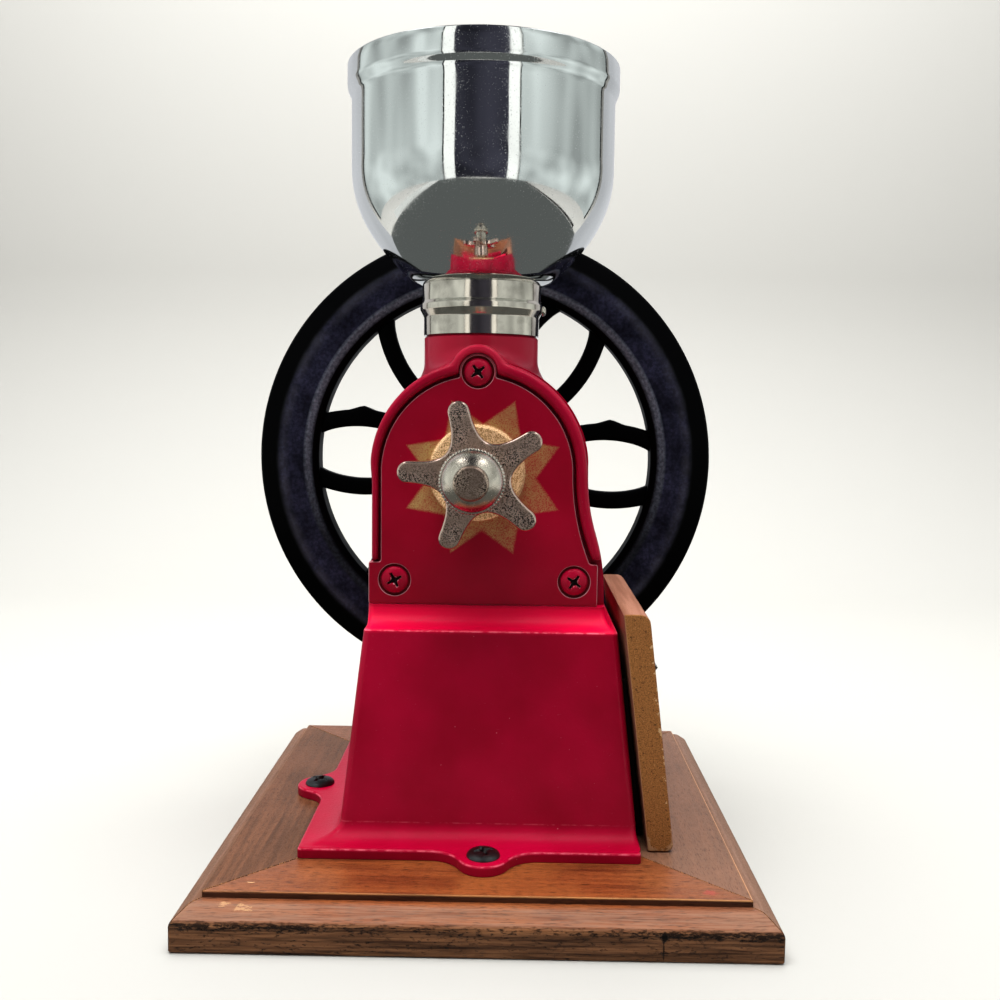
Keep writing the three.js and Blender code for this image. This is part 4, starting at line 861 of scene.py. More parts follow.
def crimson_enamel(name, dark, light):
    """Thick brushed enamel on cast iron: deep crimson, wavy from the casting, with orange peel,
    a soft gloss and a few pale specks of dust."""
    made, node, here = new_material(name)
    wave = node("TexNoise", here, 1 / (16.0 * MM), 2.0)
    peel = node("TexNoise", here, 1 / (1.5 * MM), 2.0)
    grit = node("TexNoise", here, 1 / (0.45 * MM), 3.0)
    tone = node("TexNoise", here, 1 / (26.0 * MM), 4.0)
    tone_share = node("MapRange", tone, 0.35, 0.65)
    colour = node("Mix", tone_share, dark, light)
    dust = node("TexVoronoi", here, 1 / (5.5 * MM))
    dust_share = node("MapRange", dust, 0.05, 0.03, 0.0, 0.55)
    dust_share = product(node, dust_share, node("MapRange", peel, 0.52, 0.6))
    level = node("Mapping", {"Vector": here, "Scale": (0.3, 1.0, 1.0)})
    scratch = node("TexNoise", level, 1 / (0.5 * MM), 4.0, 0.7)
    scratch_share = product(node, node("MapRange", scratch, 0.67, 0.74, 0.0, 0.5), tone_share)
    colour = node("Mix", node("Math MAXIMUM", dust_share, scratch_share), colour, "#c98a90")
    gloss = node("MapRange", grit, 0.3, 0.7, 0.28, 0.44)
    relief = bumped(node, (wave, 0.2, 0.6), (peel, 0.07, 0.8), (grit, 0.012, 0.8))
    return made, node, here, colour, gloss, relief


def finish_enamel(made, colour, gloss, normal):
    """The soft gloss that all the enamel has, over a colour and a relief."""
    finished(made, {
        "Base Color": colour, "Roughness": gloss, "Specular IOR Level": 0.14, "Coat Weight": 0.16,
        "Coat Roughness": 0.1, "Normal": normal,
    })


enamel, enamel_node, enamel_here, enamel_colour, enamel_gloss, enamel_normal = crimson_enamel(
    "crimson_enamel_on_iron", "#8f0027", "#9e0230",
)
# The neck is painted pinker and paler and the shelf above the taper a brighter crimson: painted light where
# these surfaces face the light from above.
enamel_height = enamel_node("SeparateXYZ", enamel_here).node.outputs[2]
enamel_colour = over(
    enamel_node, enamel_colour, "#cc2a4a", enamel_height, 198.0 * MM, 206.0 * MM, 0.0, 0.7,
)
shelf_painted_light = near(enamel_node, enamel_height, 103.5, 5.0, 3.2, 0.8)
enamel_colour = enamel_node("Mix", shelf_painted_light, enamel_colour, "#d4063f")
# Thin pale lines, broken here and there, run along the edge of the shelf, at the top of the cove and
# along the top edge of the foot: partly enamel worn thin, partly painted highlight on these edges.
enamel_wear_and_glint = enamel_node("TexNoise", enamel_here, 1 / (2.5 * MM), 4.0)
for line_height, line_half, line_strength in (
    (taper_top - 0.35, 0.4, 0.7), (cove_top - 0.3, 0.35, 0.22), (foot_top - 0.5, 0.35, 0.5),
):
    edge_wear_and_highlight = near(enamel_node, enamel_height, line_height, line_half, 0.0, line_strength)
    edge_wear_and_highlight = product(enamel_node, edge_wear_and_highlight, enamel_node("MapRange", enamel_wear_and_glint, 0.4, 0.6))
    enamel_colour = enamel_node("Mix", edge_wear_and_highlight, enamel_colour, "#ee8090")
finish_enamel(enamel, enamel_colour, enamel_gloss, enamel_normal)
piece(
    "enamelled_casting", [casting, lip], "mill", enamel,
    replaces=["body_casting"], sharp_degrees=32, flat_faces=True,
)


# Cover plate: flat cast plate with a turned boss, three sunk screw seats and a worn gold star
# printed on the enamel. Its edge was filed, so the enamel there is thin and pale.
def cap(*loops):
    """Flat face inside the first loop and outside the others."""
    around = [[Vector(point) for point in loop] for loop in loops]
    return np.vstack(loops), [list(face) for face in tessellate_polygon(around)]


def off_shaft(node, place):
    """Distance from the shaft's axis, for a place given by its x, y and z."""
    across = node("Math SUBTRACT", place[0], shaft_x * MM)
    up = node("Math SUBTRACT", place[2], shaft_z * MM)
    return node("VectorMath LENGTH", node("CombineXYZ", across, up))


def ring_line(radius, middle, depth, count=72):
    """Points evenly round a circle at one depth."""
    angle = np.linspace(0, 2 * np.pi, count, endpoint=False)
    return np.column_stack([
        middle[0] + radius * np.cos(angle), middle[1] + radius * np.sin(angle), np.full(count, depth),
    ])


plate_front, plate_back, plate_foot = -36.0, -31.6, -52.0
plate_radius, tab_radius = 37.3, 7.1
plate_left, plate_right, plate_right_step = 42.1, 47.6, 3.2
tab_cosine = (plate_radius ** 2 + boss_middle ** 2 - tab_radius ** 2) / (2 * plate_radius * boss_middle)
tab_meet = math.acos(tab_cosine)
tab_low = math.atan2(plate_radius * math.cos(tab_meet) - boss_middle, plate_radius * math.sin(tab_meet))
plate_right_line = bezier([
    (plate_right - plate_right_step, ear_top), (plate_radius, ear_top / 2), (plate_radius, 0.0),
], 20)
plate_outline = np.vstack([
    [(-plate_left, plate_foot)], [(plate_right, plate_foot)], [(plate_right, ear_top)], plate_right_line,
    arc((0, 0), plate_radius, 0, math.pi / 2 - tab_meet, 50),
    arc((0, boss_middle), tab_radius, tab_low, math.pi - tab_low, 40),
    arc((0, 0), plate_radius, math.pi / 2 + tab_meet, math.pi, 50),
    [(-plate_radius, ear_top)], [(-plate_left, ear_top)],
])
plate_outline = soften(evenly(plate_outline, 0.5), 2)
cover_screws = {
    "cover_screw_top": (0.0, boss_middle),
    "cover_screw_left": (-31.9, -42.4),
    "cover_screw_right": (38.4, -42.4),
}
seat_radius, seat_depth, seat_edge = 6.3, 1.2, 0.4
plate_rings = edge_rings(plate_front, plate_back, 0.5, 0.2)
plate_rings.insert(len(plate_rings) // 2, (0.0, plate_front + 0.6))
plate_rows = np.array([
    np.column_stack([inset_by(plate_outline, inset), np.full(len(plate_outline), depth)])
    for inset, depth in plate_rings
])
boss_radius, boss_front, boss_fillet, boss_bore = 18.2, -41.0, 1.2, 9.6
boss_line = rounded([
    (boss_radius + boss_fillet, plate_front), (boss_radius, plate_front), (boss_radius, boss_front),
    (boss_bore, boss_front),
], [0, boss_fillet * 0.98, 0.8, 0])
plate_parts = [
    skin(plate_rows),
    cap(plate_rows[-1]),
    cap(
        plate_rows[0], ring_line(boss_radius + boss_fillet, (0, 0), plate_front, 120),
        *[ring_line(seat_radius + seat_edge, middle, plate_front) for middle in cover_screws.values()],
    ),
    skin(turned(boss_line, 120)),
    cap(ring_line(boss_bore, (0, 0), boss_front, 120)),
]
seat_floor = plate_front + seat_depth
seat_line = rounded([
    (seat_radius + seat_edge, plate_front), (seat_radius, plate_front), (seat_radius, seat_floor),
    (0, seat_floor),
], [0, seat_edge * 0.98, 0.3, 0])
plate_parts += [along_z(skin(turned(seat_line, 72)), *middle) for middle in cover_screws.values()]
plate_enamel, plate_node, plate_here, plate_colour, plate_gloss, plate_normal = crimson_enamel(
    "crimson_enamel_with_gold_print", "#8c0024", "#9a032c",
)
star_middle = (-1.3, 158.1)
star_points, star_outer, star_inner = 8, 31.8, 20.6
half_point = math.pi / star_points
split_here = plate_node("SeparateXYZ", plate_here).node.outputs
star_x = plate_node("Math SUBTRACT", split_here[0], star_middle[0] * MM)
star_z = plate_node("Math SUBTRACT", split_here[2], star_middle[1] * MM)
star_away = plate_node("VectorMath LENGTH", plate_node("CombineXYZ", star_x, star_z))
star_angle = plate_node("Math SUBTRACT", plate_node("Math ARCTAN2", star_z, star_x), half_point)
star_fold = plate_node("Math PINGPONG", star_angle, half_point)
# Between a point (outer radius) and a notch (inner radius) the star's edge is a straight line: its
# radius is outer x inner x sin(b) / (inner x sin(b) cos(a) + (outer - inner x cos(b)) sin(a)).
notch_across = star_inner * math.sin(half_point)
notch_short = star_outer - star_inner * math.cos(half_point)
edge_cos = product(plate_node, plate_node("Math COSINE", star_fold), notch_across)
edge_sin = product(plate_node, plate_node("Math SINE", star_fold), notch_short)
edge_sum = plate_node("Math ADD", edge_cos, edge_sin)
star_edge = plate_node("Math DIVIDE", star_outer * notch_across * MM, edge_sum)
print_fray = plate_node("TexNoise", plate_here, 1 / (0.45 * MM), 4.0)
fray = plate_node("MapRange", print_fray, 0.3, 0.7, -0.45 * MM, 0.45 * MM)
inside_star = plate_node("Math ADD", plate_node("Math SUBTRACT", star_edge, star_away), fray)
print_wear = plate_node("TexNoise", plate_here, 1 / (5.0 * MM), 5.0)
wear_share = plate_node("MapRange", print_wear, 0.3, 0.62, 0.98, 0.66)
# The spray let the red through in fine specks, most of all towards the lower right.
print_speck = plate_node("TexNoise", plate_here, 1 / (0.42 * MM), 3.0)
thin_side = plate_node("Math SUBTRACT", star_x, star_z)
thin_side = plate_node("MapRange", thin_side, -30.0 * MM, 34.0 * MM, 0.46, 0.54)
speck_share = plate_node("Math SUBTRACT", print_speck, thin_side)
speck_share = plate_node("MapRange", speck_share, -0.12, -0.01, 0.3, 1.0)
star_share = plate_node("MapRange", inside_star, -0.7 * MM, 0.9 * MM)
star_share = product(plate_node, star_share, wear_share, speck_share)
gold_colour = plate_node("Mix", print_fray, "#76602e", "#d2b47c")
ruddy_side = plate_node("MapRange", star_x, -12.0 * MM, 24.0 * MM, 0.0, 0.5)
gold_colour = plate_node("Mix", ruddy_side, gold_colour, "#94583c")
plate_colour = plate_node("Mix", star_share, plate_colour, gold_colour)
boss_gold = over(plate_node, "#a87c48", "#ffdcae", print_speck, 0.38, 0.56)
boss_gold = plate_node("Mix", ruddy_side, boss_gold, "#8a5a40")
plate_colour = over(
    plate_node, plate_colour, boss_gold, off_shaft(plate_node, split_here),
    (boss_radius + 0.7) * MM, (boss_radius + 0.4) * MM,
)
edge_mark = plate_node("Attribute", attribute_name="thin_enamel").node.outputs["Fac"]
plate_colour = plate_node("Mix", product(plate_node, edge_mark, wear_share), plate_colour, "#b98a90")
# The floors and walls of the screw seats are darkened with painted shade.
seat_shade_mark = plate_node("Attribute", attribute_name="painted_seat_shade").node.outputs["Fac"]
plate_colour = plate_node("Mix", seat_shade_mark, plate_colour, "#64000f")
finish_enamel(plate_enamel, plate_colour, plate_gloss, plate_normal)
cover_plate = piece(
    "cover_plate", [along_y(part, shaft_x, shaft_z) for part in plate_parts], "mill",
    plate_enamel, replaces=["front_plate"], sharp_degrees=40, flat_faces=True,
)


def mark_edges(made, name, chosen):
    """Stores on each point how far it belongs to an edge, from the share that chosen works out."""
    points = np.zeros(len(made.data.vertices) * 3)
    made.data.vertices.foreach_get("co", points)
    shares = chosen(points.reshape(-1, 3) / MM)
    made.data.attributes.new(name, "FLOAT", "POINT").data.foreach_set("value", shares.astype(np.float32))


# A point of the plate's edge is one on the rounding, neither on the front face nor deep down the side.
mark_edges(cover_plate, "thin_enamel", lambda p: (
    (p[:, 1] > plate_front + 0.03) & (p[:, 1] < plate_front + 0.49)
    & (np.hypot(p[:, 0] - shaft_x, p[:, 2] - shaft_z) > boss_radius + 3)
).astype(float))
# Points deep in a screw seat carry the painted shade of the seat.
mark_edges(cover_plate, "painted_seat_shade", lambda p: sum(
    (np.hypot(p[:, 0] - shaft_x - across_plate, p[:, 2] - shaft_z - up_plate) < seat_radius + 0.1)
    & (p[:, 1] > plate_front + 0.5)
    for across_plate, up_plate in cover_screws.values()
).astype(float))


# Screws: round-headed steel machine and wood screws with a cross slot. The three cover screws were
# brushed over with the enamel, the base screws are blackened and the small ones are nickelled.
def screw_head(radius, height, arm_share=0.6, bar_share=0.16, depth_share=0.8, steps=48):
    """Domed head on a disc of points (a square grid bent to a circle), depth along its axis: the
    dome is height x (1 - r^2.6)^0.5 and a cross of soft-edged bars is pressed into it."""
    line = np.sin(np.linspace(-0.5, 0.5, steps + 1) * np.pi)
    u, v = np.meshgrid(line, line)
    x, y = u * np.sqrt(1 - v ** 2 / 2), v * np.sqrt(1 - u ** 2 / 2)
    away = np.clip(np.hypot(x, y), 0, 1)
    dome = height * np.sqrt(np.clip(1 - away ** 2.6, 0, 1))
    off_bar, far = np.minimum(abs(x), abs(y)), np.maximum(abs(x), abs(y))
    bar = np.clip((bar_share * (1.1 - 0.5 * far / arm_share) - off_bar) / 0.05, 0, 1)
    arm = np.clip((arm_share - far) / 0.07, 0, 1)
    slope = 1 - 0.45 * np.clip(far / arm_share, 0, 1)
    top = dome - height * depth_share * bar * arm * slope
    points, faces = skin(np.dstack([x * radius, y * radius, top]), round_columns=False)
    side, corner, last = steps + 1, (steps + 1) * steps, (steps + 1) ** 2 - 1
    rim = [*range(0, steps), *range(steps, last, side), *range(last, corner, -1), *range(corner, 0, -side)]
    return points, faces + [rim]


def spun(part, degrees):
    """Turns a part about its own axis."""
    cosine, sine = math.cos(math.radians(degrees)), math.sin(math.radians(degrees))
    return part[0] @ np.array([[cosine, sine, 0], [-sine, cosine, 0], [0, 0, 1]]), part[1]


def slot_share(radius, height, away, depth):
    """How deep each point lies in the slot: 0 on the dome that screw_head makes, 1 well below it."""
    dome = height * np.sqrt(np.clip(1 - np.clip(away / radius, 0, 1) ** 2.6, 0, 1))
    return np.clip((dome - depth) / (0.45 * height), 0, 1)


screw_enamel, screw_node, screw_here, screw_colour, screw_gloss, screw_normal = crimson_enamel(
    "crimson_enamel_on_screws", "#94002a", "#aa0a36",
)
in_slot = screw_node("Attribute", attribute_name="in_slot").node.outputs["Fac"]
# Round the top of the slot the enamel is pale: partly chipped, partly a painted highlight on the slot's
# walls.
chip_and_highlight_noise = screw_node("TexNoise", screw_here, 1 / (0.9 * MM), 2.0)
chip_and_highlight_share = screw_node("MapRange", in_slot, 0.02, 0.3)
chip_and_highlight_share = product(screw_node, chip_and_highlight_share, screw_node("MapRange", chip_and_highlight_noise, 0.5, 0.56, 0.0, 0.8))
screw_colour = screw_node("Mix", chip_and_highlight_share, screw_colour, "#e0a6ac")
# Deep in the slot the colour is near black: painted shade.
screw_colour = over(screw_node, screw_colour, "#160206", in_slot, 0.45, 0.8)
finish_enamel(screw_enamel, screw_colour, screw_gloss, screw_normal)
cover_head_size = (5.4, 2.4)
cover_head = screw_head(*cover_head_size)
head_seat = seat_floor - 0.1
cover_turns = {"cover_screw_top": 38, "cover_screw_left": 28, "cover_screw_right": 55}
for name, (across_plate, up_plate) in cover_screws.items():
    head_points, head_faces = spun(cover_head, cover_turns[name])
    head_x, head_z = shaft_x + across_plate, shaft_z + up_plate
    facing_front = (head_points * [1, 1, -1] + [0, 0, head_seat], head_faces)
    head = piece(
        f"painted_{name}", [along_y(facing_front, head_x, head_z)], "mill", screw_enamel,
        replaces=[name], sharp_degrees=60,
    )
    mark_edges(head, "in_slot", lambda p, x=head_x, z=head_z: slot_share(
        *cover_head_size, np.hypot(p[:, 0] - x, p[:, 2] - z), head_seat - p[:, 1],
    ))


def metal(name, colour, roughness, grain=0.6, grain_depth=0.01, spots=0.0, stretch=(1.0, 1.0, 1.0)):
    """Bare or plated metal: its tint, a fine grain of a real size in millimetres, and brown-grey
    tarnish in spots."""
    made, node, here = new_material(name)
    drawn = node("Mapping", {"Vector": here, "Scale": stretch})
    fine = node("TexNoise", drawn, 1 / (grain * MM), 3.0)
    cloud = node("TexNoise", here, 1 / (7.0 * MM), 4.0)
    shown = over(node, colour, "#4a4038", cloud, 0.5, 0.72, 0.0, spots)
    gloss = node("MapRange", fine, 0.3, 0.7, roughness * 0.8, roughness * 1.25)
    relief = bumped(node, (fine, grain_depth, 1.0))
    return finished(made, {"Base Color": shown, "Metallic": 1.0, "Roughness": gloss, "Normal": relief})


blackened = metal("blackened_steel", "#565658", 0.42, grain=0.5, grain_depth=0.03, spots=0.5)
lug_hole = foot_reach + lug_nose
base_screws = {
    "base_screw_front": (lug_shift, -lug_hole, 20), "base_screw_left": (-lug_hole, 0.0, 65),
    "base_screw_rear": (lug_shift, lug_hole, 10),
}
base_head = screw_head(6.2, 2.3)
for name, (x, y, turn) in base_screws.items():
    head_points, head_faces = spun(base_head, turn)
    piece(
        f"dark_{name}", [along_z((head_points + np.array([0, 0, foot_top + 0.05]), head_faces), x, y)],
        "mill", blackened, replaces=[name], sharp_degrees=60,
    )


# Hopper bowl: spun sheet brass, chromed and polished. Its bottom curves up from a flat seat into a
# straight wall, and the top is flared into a plain rim. Finger marks dull it a little.
bowl_low, bowl_top = 235.5, 322.3
bowl_seat, bowl_body, bowl_rim, bowl_wall = 27.0, 53.5, 55.2, 1.0
bowl_hole, bowl_curve_rise, bowl_fullness = 17.0, 46.0, 2.15
wall_drops, flare_start, flare_run, rim_drops = (24.0, 16.0), 14.5, 5.5, (4.0, 1.5)
bowl_rise = np.linspace(0, 1, 30)
bowl_curve = np.column_stack([
    bowl_seat + (bowl_body - bowl_seat) * (1 - (1 - bowl_rise) ** bowl_fullness),
    bowl_low + bowl_curve_rise * bowl_rise,
])
flare_rise = np.linspace(0, 1, 12)
flare_curve = np.column_stack([
    bowl_body + (bowl_rim - bowl_body) * (3 * flare_rise ** 2 - 2 * flare_rise ** 3),
    bowl_top - flare_start + flare_run * flare_rise,
])
bowl_outer = np.vstack([
    [(bowl_hole, bowl_low)], [(bowl_seat - 2.0, bowl_low)], bowl_curve[1:],
    [(bowl_body, bowl_top - drop) for drop in wall_drops], flare_curve,
    [(bowl_rim, bowl_top - drop) for drop in rim_drops],
])


def walled(line, wall):
    """Closed profile of a sheet: the line, then the same line moved by the wall to its left and back,
    the free end between them made round."""
    along = np.gradient(line, axis=0)
    along /= np.linalg.norm(along, axis=1, keepdims=True)
    inner = line + wall * np.column_stack([-along[:, 1], along[:, 0]])
    turn = np.linspace(0, math.pi, 7)[1:-1, None]
    middle, half = (line[-1] + inner[-1]) / 2, (line[-1] - inner[-1]) / 2
    end = middle + half * np.cos(turn) + along[-1] * wall / 2 * np.sin(turn)
    return np.vstack([line, end, inner[::-1]])


def chromed_brass(name):
    """Polished chrome plate: a mirror, with a faint haze of fingerprints and fine wiping marks."""
    made, node, here = new_material(name)
    smear = node("TexNoise", here, 1 / (12.0 * MM), 5.0)
    speck = node("TexNoise", here, 1 / (0.5 * MM), 2.0)
    haze = node("MapRange", smear, 0.4, 0.75, 0.035, 0.13)
    dull = node("MapRange", speck, 0.6, 0.72, 0.0, 0.24)
    gloss = node("Math ADD", haze, dull)
    dent = node("TexNoise", here, 1 / (20.0 * MM), 1.0)
    relief = bumped(node, (dent, 0.12, 0.6))
    return finished(made, {
        "Base Color": "#dcdedd", "Metallic": 1.0, "Roughness": gloss, "Normal": relief,
    })


chrome = chromed_brass("polished_chrome_plate")
bowl_grid = turned(walled(bowl_outer, bowl_wall), 200)
piece(
    "chromed_bowl", [along_z(skin(bowl_grid, round_rows=True), shaft_x)], "mill", chrome,
    replaces=["hopper_bowl"], sharp_degrees=40,
)


# Hopper collar: a rolled brass ring, nickelled, with one bead round its middle and two small screws.
collar_low, collar_top, collar_wall = 214.5, 235.2, 1.2
collar_radius, bead_crest, collar_neck = 23.9, 25.4, 24.5
collar_line = rounded([
    (collar_radius, collar_low), (collar_radius, 221.9), (bead_crest, 224.8), (bead_crest, 227.0),
    (collar_neck, 228.4), (collar_neck, collar_top),
], [0, 1.6, 1.0, 0.8, 0.8, 0], steps=8)
nickel = metal(
    "dull_nickel_plate", "#d0c8bc", 0.12, grain=0.9, grain_depth=0.006, spots=0.35,
    stretch=(1.0, 1.0, 0.06),
)
collar_grid = turned(walled(collar_line, collar_wall), 144)
piece(
    "nickelled_collar", [along_z(skin(collar_grid, round_rows=True), shaft_x)], "mill", nickel,
    replaces=["hopper_collar"], sharp_degrees=40,
)
small_head = screw_head(2.1, 1.6, steps=24)
screw_height, screw_seat = 225.3, 25.25
for name, degrees in (("collar_screw_right", 0), ("collar_screw_rear", 110)):
    outwards = math.radians(degrees)
    head_points, head_faces = spun(small_head, 15)
    out = screw_seat + head_points[:, 2]
    placed = np.column_stack([
        shaft_x + out * math.cos(outwards) - head_points[:, 0] * math.sin(outwards),
        out * math.sin(outwards) + head_points[:, 0] * math.cos(outwards),
        screw_height + head_points[:, 1],
    ])
    piece(
        f"small_{name}", [(placed, head_faces)], "mill", nickel, replaces=[name],
        sharp_degrees=60,
    )


# Star regulator: die-cast zinc, nickelled. Five round-ended arms; the face kept the grain of the
# mould and has darkened, while the rounded edges were polished bright.
star_front, star_back = -63.0, -57.4
arm_tip, arm_radius, web_pull, arm_turn = 28.3, 4.0, 14.1, math.radians(32.3)
arms = 5


def outwards_at(angle):
    """Unit vector that points out at an angle, and the one a quarter turn on from it."""
    return np.array([math.cos(angle), math.sin(angle)]), np.array([-math.sin(angle), math.cos(angle)])


# Each arm ends in half a circle, and a web runs in a curve from its side to the next arm's.
star_line = []
for arm in range(arms):
    angle, following = (arm_turn + 2 * math.pi * number / arms for number in (arm, arm + 1))
    out, side = outwards_at(angle)
    next_out, next_side = outwards_at(following)
    tip, next_tip = (arm_tip - arm_radius) * out, (arm_tip - arm_radius) * next_out
    leave, reach = tip + arm_radius * side, next_tip - arm_radius * next_side
    star_line.append(arc(tip, arm_radius, angle - math.pi / 2, angle + math.pi / 2, 20))
    star_line.append(bezier([leave, leave - web_pull * out, reach - web_pull * next_out, reach], 30))
star_line = soften(evenly(np.vstack(star_line), 0.45), 1)
star_hub = rounded(rod(10.0, star_back - 1.0, -44.6), [0, 0, 0.8, 0])


def grained_metal(name, dark, light, clear):
    """Metal with the coarse speckle of the mould on it (grain about 0.4 mm), and bright polished
    edges, told apart by a mark stored on the mesh."""
    made, node, here = new_material(name)
    grain = node("TexNoise", here, 1 / (0.4 * MM), 3.0, 0.6)
    patch = node("TexNoise", here, 1 / (7.0 * MM), 3.0)
    face = over(node, dark, light, grain, 0.43, 0.53)
    face = over(node, face, clear, patch, 0.42, 0.62, 0.0, 0.8)
    polish = node("Attribute", attribute_name="polished").node.outputs["Fac"]
    shown = node("Mix", polish, face, "#d3bbae")
    gloss = node("MapRange", polish, 0.0, 1.0, 0.42, 0.2)
    rough = node("MapRange", polish, 0.0, 1.0, 1.0, 0.1)
    relief = bumped(node, (grain, 0.07, rough))
    return finished(made, {"Base Color": shown, "Metallic": 1.0, "Roughness": gloss, "Normal": relief})


star_piece = piece(
    "star_wheel",
    [
        along_y(slab(star_line, edge_rings(star_front, star_back, 1.0, 0.8)), shaft_x, shaft_z),
        lathed(star_hub),
    ],
    "regulator", grained_metal("grained_nickel_casting", "#332826", "#f0d6c6", "#c6aa9a"),
    replaces=["star_regulator"], sharp_degrees=40, flat_faces=True,
)
mark_edges(star_piece, "polished", lambda p: (p[:, 1] > star_front + 0.05).astype(float))


# Lock nut and feed screw: a turned brass nut, chromed and dusty, that stands on a neck of its own
# against the star; its skirt is knurled. The worn flat end of the steel feed screw shows in its dome.
nut_back, skirt_back, skirt_front, dome_tip = -63.3, -78.3, -84.7, -93.3
knurls, knurl_depth, skirt_radius, shoulder, nut_neck, nut_bore = 56, 0.6, 11.6, 10.6, 8.6, 6.1
knurl_angle = np.linspace(0, 2 * np.pi, knurls * 8, endpoint=False)
# Each knurl is a small bead: half an ellipse between two sharp valleys.
knurl_fold = (knurls * knurl_angle / np.pi) % 2 - 1
knurl_wave = 1 - np.sqrt(1 - knurl_fold ** 2)
nut_rows = []
for radius, depth, cut in (
    (nut_bore, nut_back, 0.0), (nut_neck - 0.4, nut_back, 0.0), (nut_neck, nut_back - 0.4, 0.0),
    (nut_neck, skirt_back + 0.8, 0.0), (nut_neck + 0.8, skirt_back, 0.0),
    (skirt_radius - 1.0, skirt_back, 0.0), (skirt_radius - 0.4, skirt_back - 0.15, 0.5),
    (skirt_radius, skirt_back - 0.6, 1.0), (skirt_radius, skirt_front + 0.6, 1.0),
    (skirt_radius - 0.3, skirt_front + 0.15, 0.7), (skirt_radius - 0.7, skirt_front, 0.2),
    (shoulder + 0.1, skirt_front, 0.0),
):
    nut_rows.append(ring_line(radius - knurl_depth * cut * knurl_wave, (0, 0), depth, len(knurl_angle)))
for turn in np.linspace(0, math.pi / 2, 16):
    radius = max(shoulder * math.cos(turn) ** 0.8, nut_bore)
    depth = skirt_front - (skirt_front - dome_tip) * math.sin(turn)
    nut_rows.append(ring_line(radius, (0, 0), depth, len(knurl_angle)))
nut_rows.append(ring_line(nut_bore - 0.02, (0, 0), skirt_front, len(knurl_angle)))
dusty_chrome = metal("dusty_chrome_plate", "#d8cec0", 0.22, grain=0.45, grain_depth=0.08, spots=0.5)
piece(
    "knurled_lock_nut", [along_y(skin(np.array(nut_rows), round_rows=True), shaft_x, shaft_z)],
    "lock_nut", dusty_chrome, replaces=["lock_nut"], sharp_degrees=50,
)
steel = metal("turned_steel", "#b4b2ae", 0.24, grain=0.5, grain_depth=0.008, spots=0.3)
screw_back, screw_tip, screw_radius, tip_edge = -32.6, -95.5, 6.0, 0.8
screw_line = rounded([
    (0, screw_back), (screw_radius, screw_back), (screw_radius, screw_tip + tip_edge),
    (screw_radius - 0.7, screw_tip), (0, screw_tip),
], [0, 0.5, 0.3, 0.3, 0])
piece(
    "feed_screw_shank", [lathed(screw_line, 72)],
    "regulator", grained_metal("worn_rough_steel", "#241c19", "#e2cbb8", "#a89284"),
    replaces=["feed_screw"], sharp_degrees=50,
)
dress("regulator_pin", steel)


# Flywheel: cast iron brushed with semi-gloss black. The rim is bevelled on both faces, and six pairs
# of bowed spokes run to the hub. The face bears dust under a painted sheen, the inner slope a painted
# reflection, and the raised ridge a pale line of rubbed paint and painted highlight.
wheel_plane, wheel_radius, rim_half, arris_radius, arris_half = 70.0, 108.5, 3.8, 107.3, 5.0
rim_inner, inner_half, ridge_inner, ridge_outer, ridge_half = 80.0, 5.5, 86.0, 98.5, 9.0
rim_line = rounded([
    (rim_inner, wheel_plane + inner_half), (rim_inner, wheel_plane - inner_half),
    (ridge_inner, wheel_plane - ridge_half), (ridge_outer, wheel_plane - ridge_half),
    (arris_radius, wheel_plane - arris_half), (wheel_radius, wheel_plane - rim_half),
    (wheel_radius, wheel_plane + rim_half), (arris_radius, wheel_plane + arris_half),
    (ridge_outer, wheel_plane + ridge_half), (ridge_inner, wheel_plane + ridge_half),
], [1.6, 1.6, 3.0, 6.0, 1.6, 1.6, 1.6, 1.6, 6.0, 3.0], steps=6)
wheel_parts = [skin(turned(rim_line, 220), round_rows=True)]
wheel_bore, wheel_hub, wheel_hub_front, wheel_hub_back = 6.3, 17.0, 56.5, 81.5
hub_profile = rod(wheel_hub, wheel_hub_front, wheel_hub_back, wheel_bore)
hub_line = rounded(hub_profile, [0.5, 2.4, 2.4, 0.5], steps=6)
wheel_parts.append(skin(turned(hub_line, 96), round_rows=True))
spoke_arc, spoke_apex, spoke_offset, spoke_width, spoke_half = 58.0, 60.0, 16.6, 8.2, 4.0
bow_middle = spoke_offset - spoke_arc
bow_rim = math.acos((ridge_inner - spoke_apex) / spoke_arc)
bow_hub = math.acos((wheel_hub - 4.0 - spoke_apex) / spoke_arc)
swell_share, swell_reach, swell_fade = 0.25, 3.0, 3.2
peak_height, peak_reach = 1.9, 6.0
section = rounded([
    (-spoke_width / 2, -spoke_half), (spoke_width / 2, -spoke_half),
    (spoke_width / 2, spoke_half), (-spoke_width / 2, spoke_half),
], 2.3, steps=5)
wheel_turn = math.radians(-2.5)
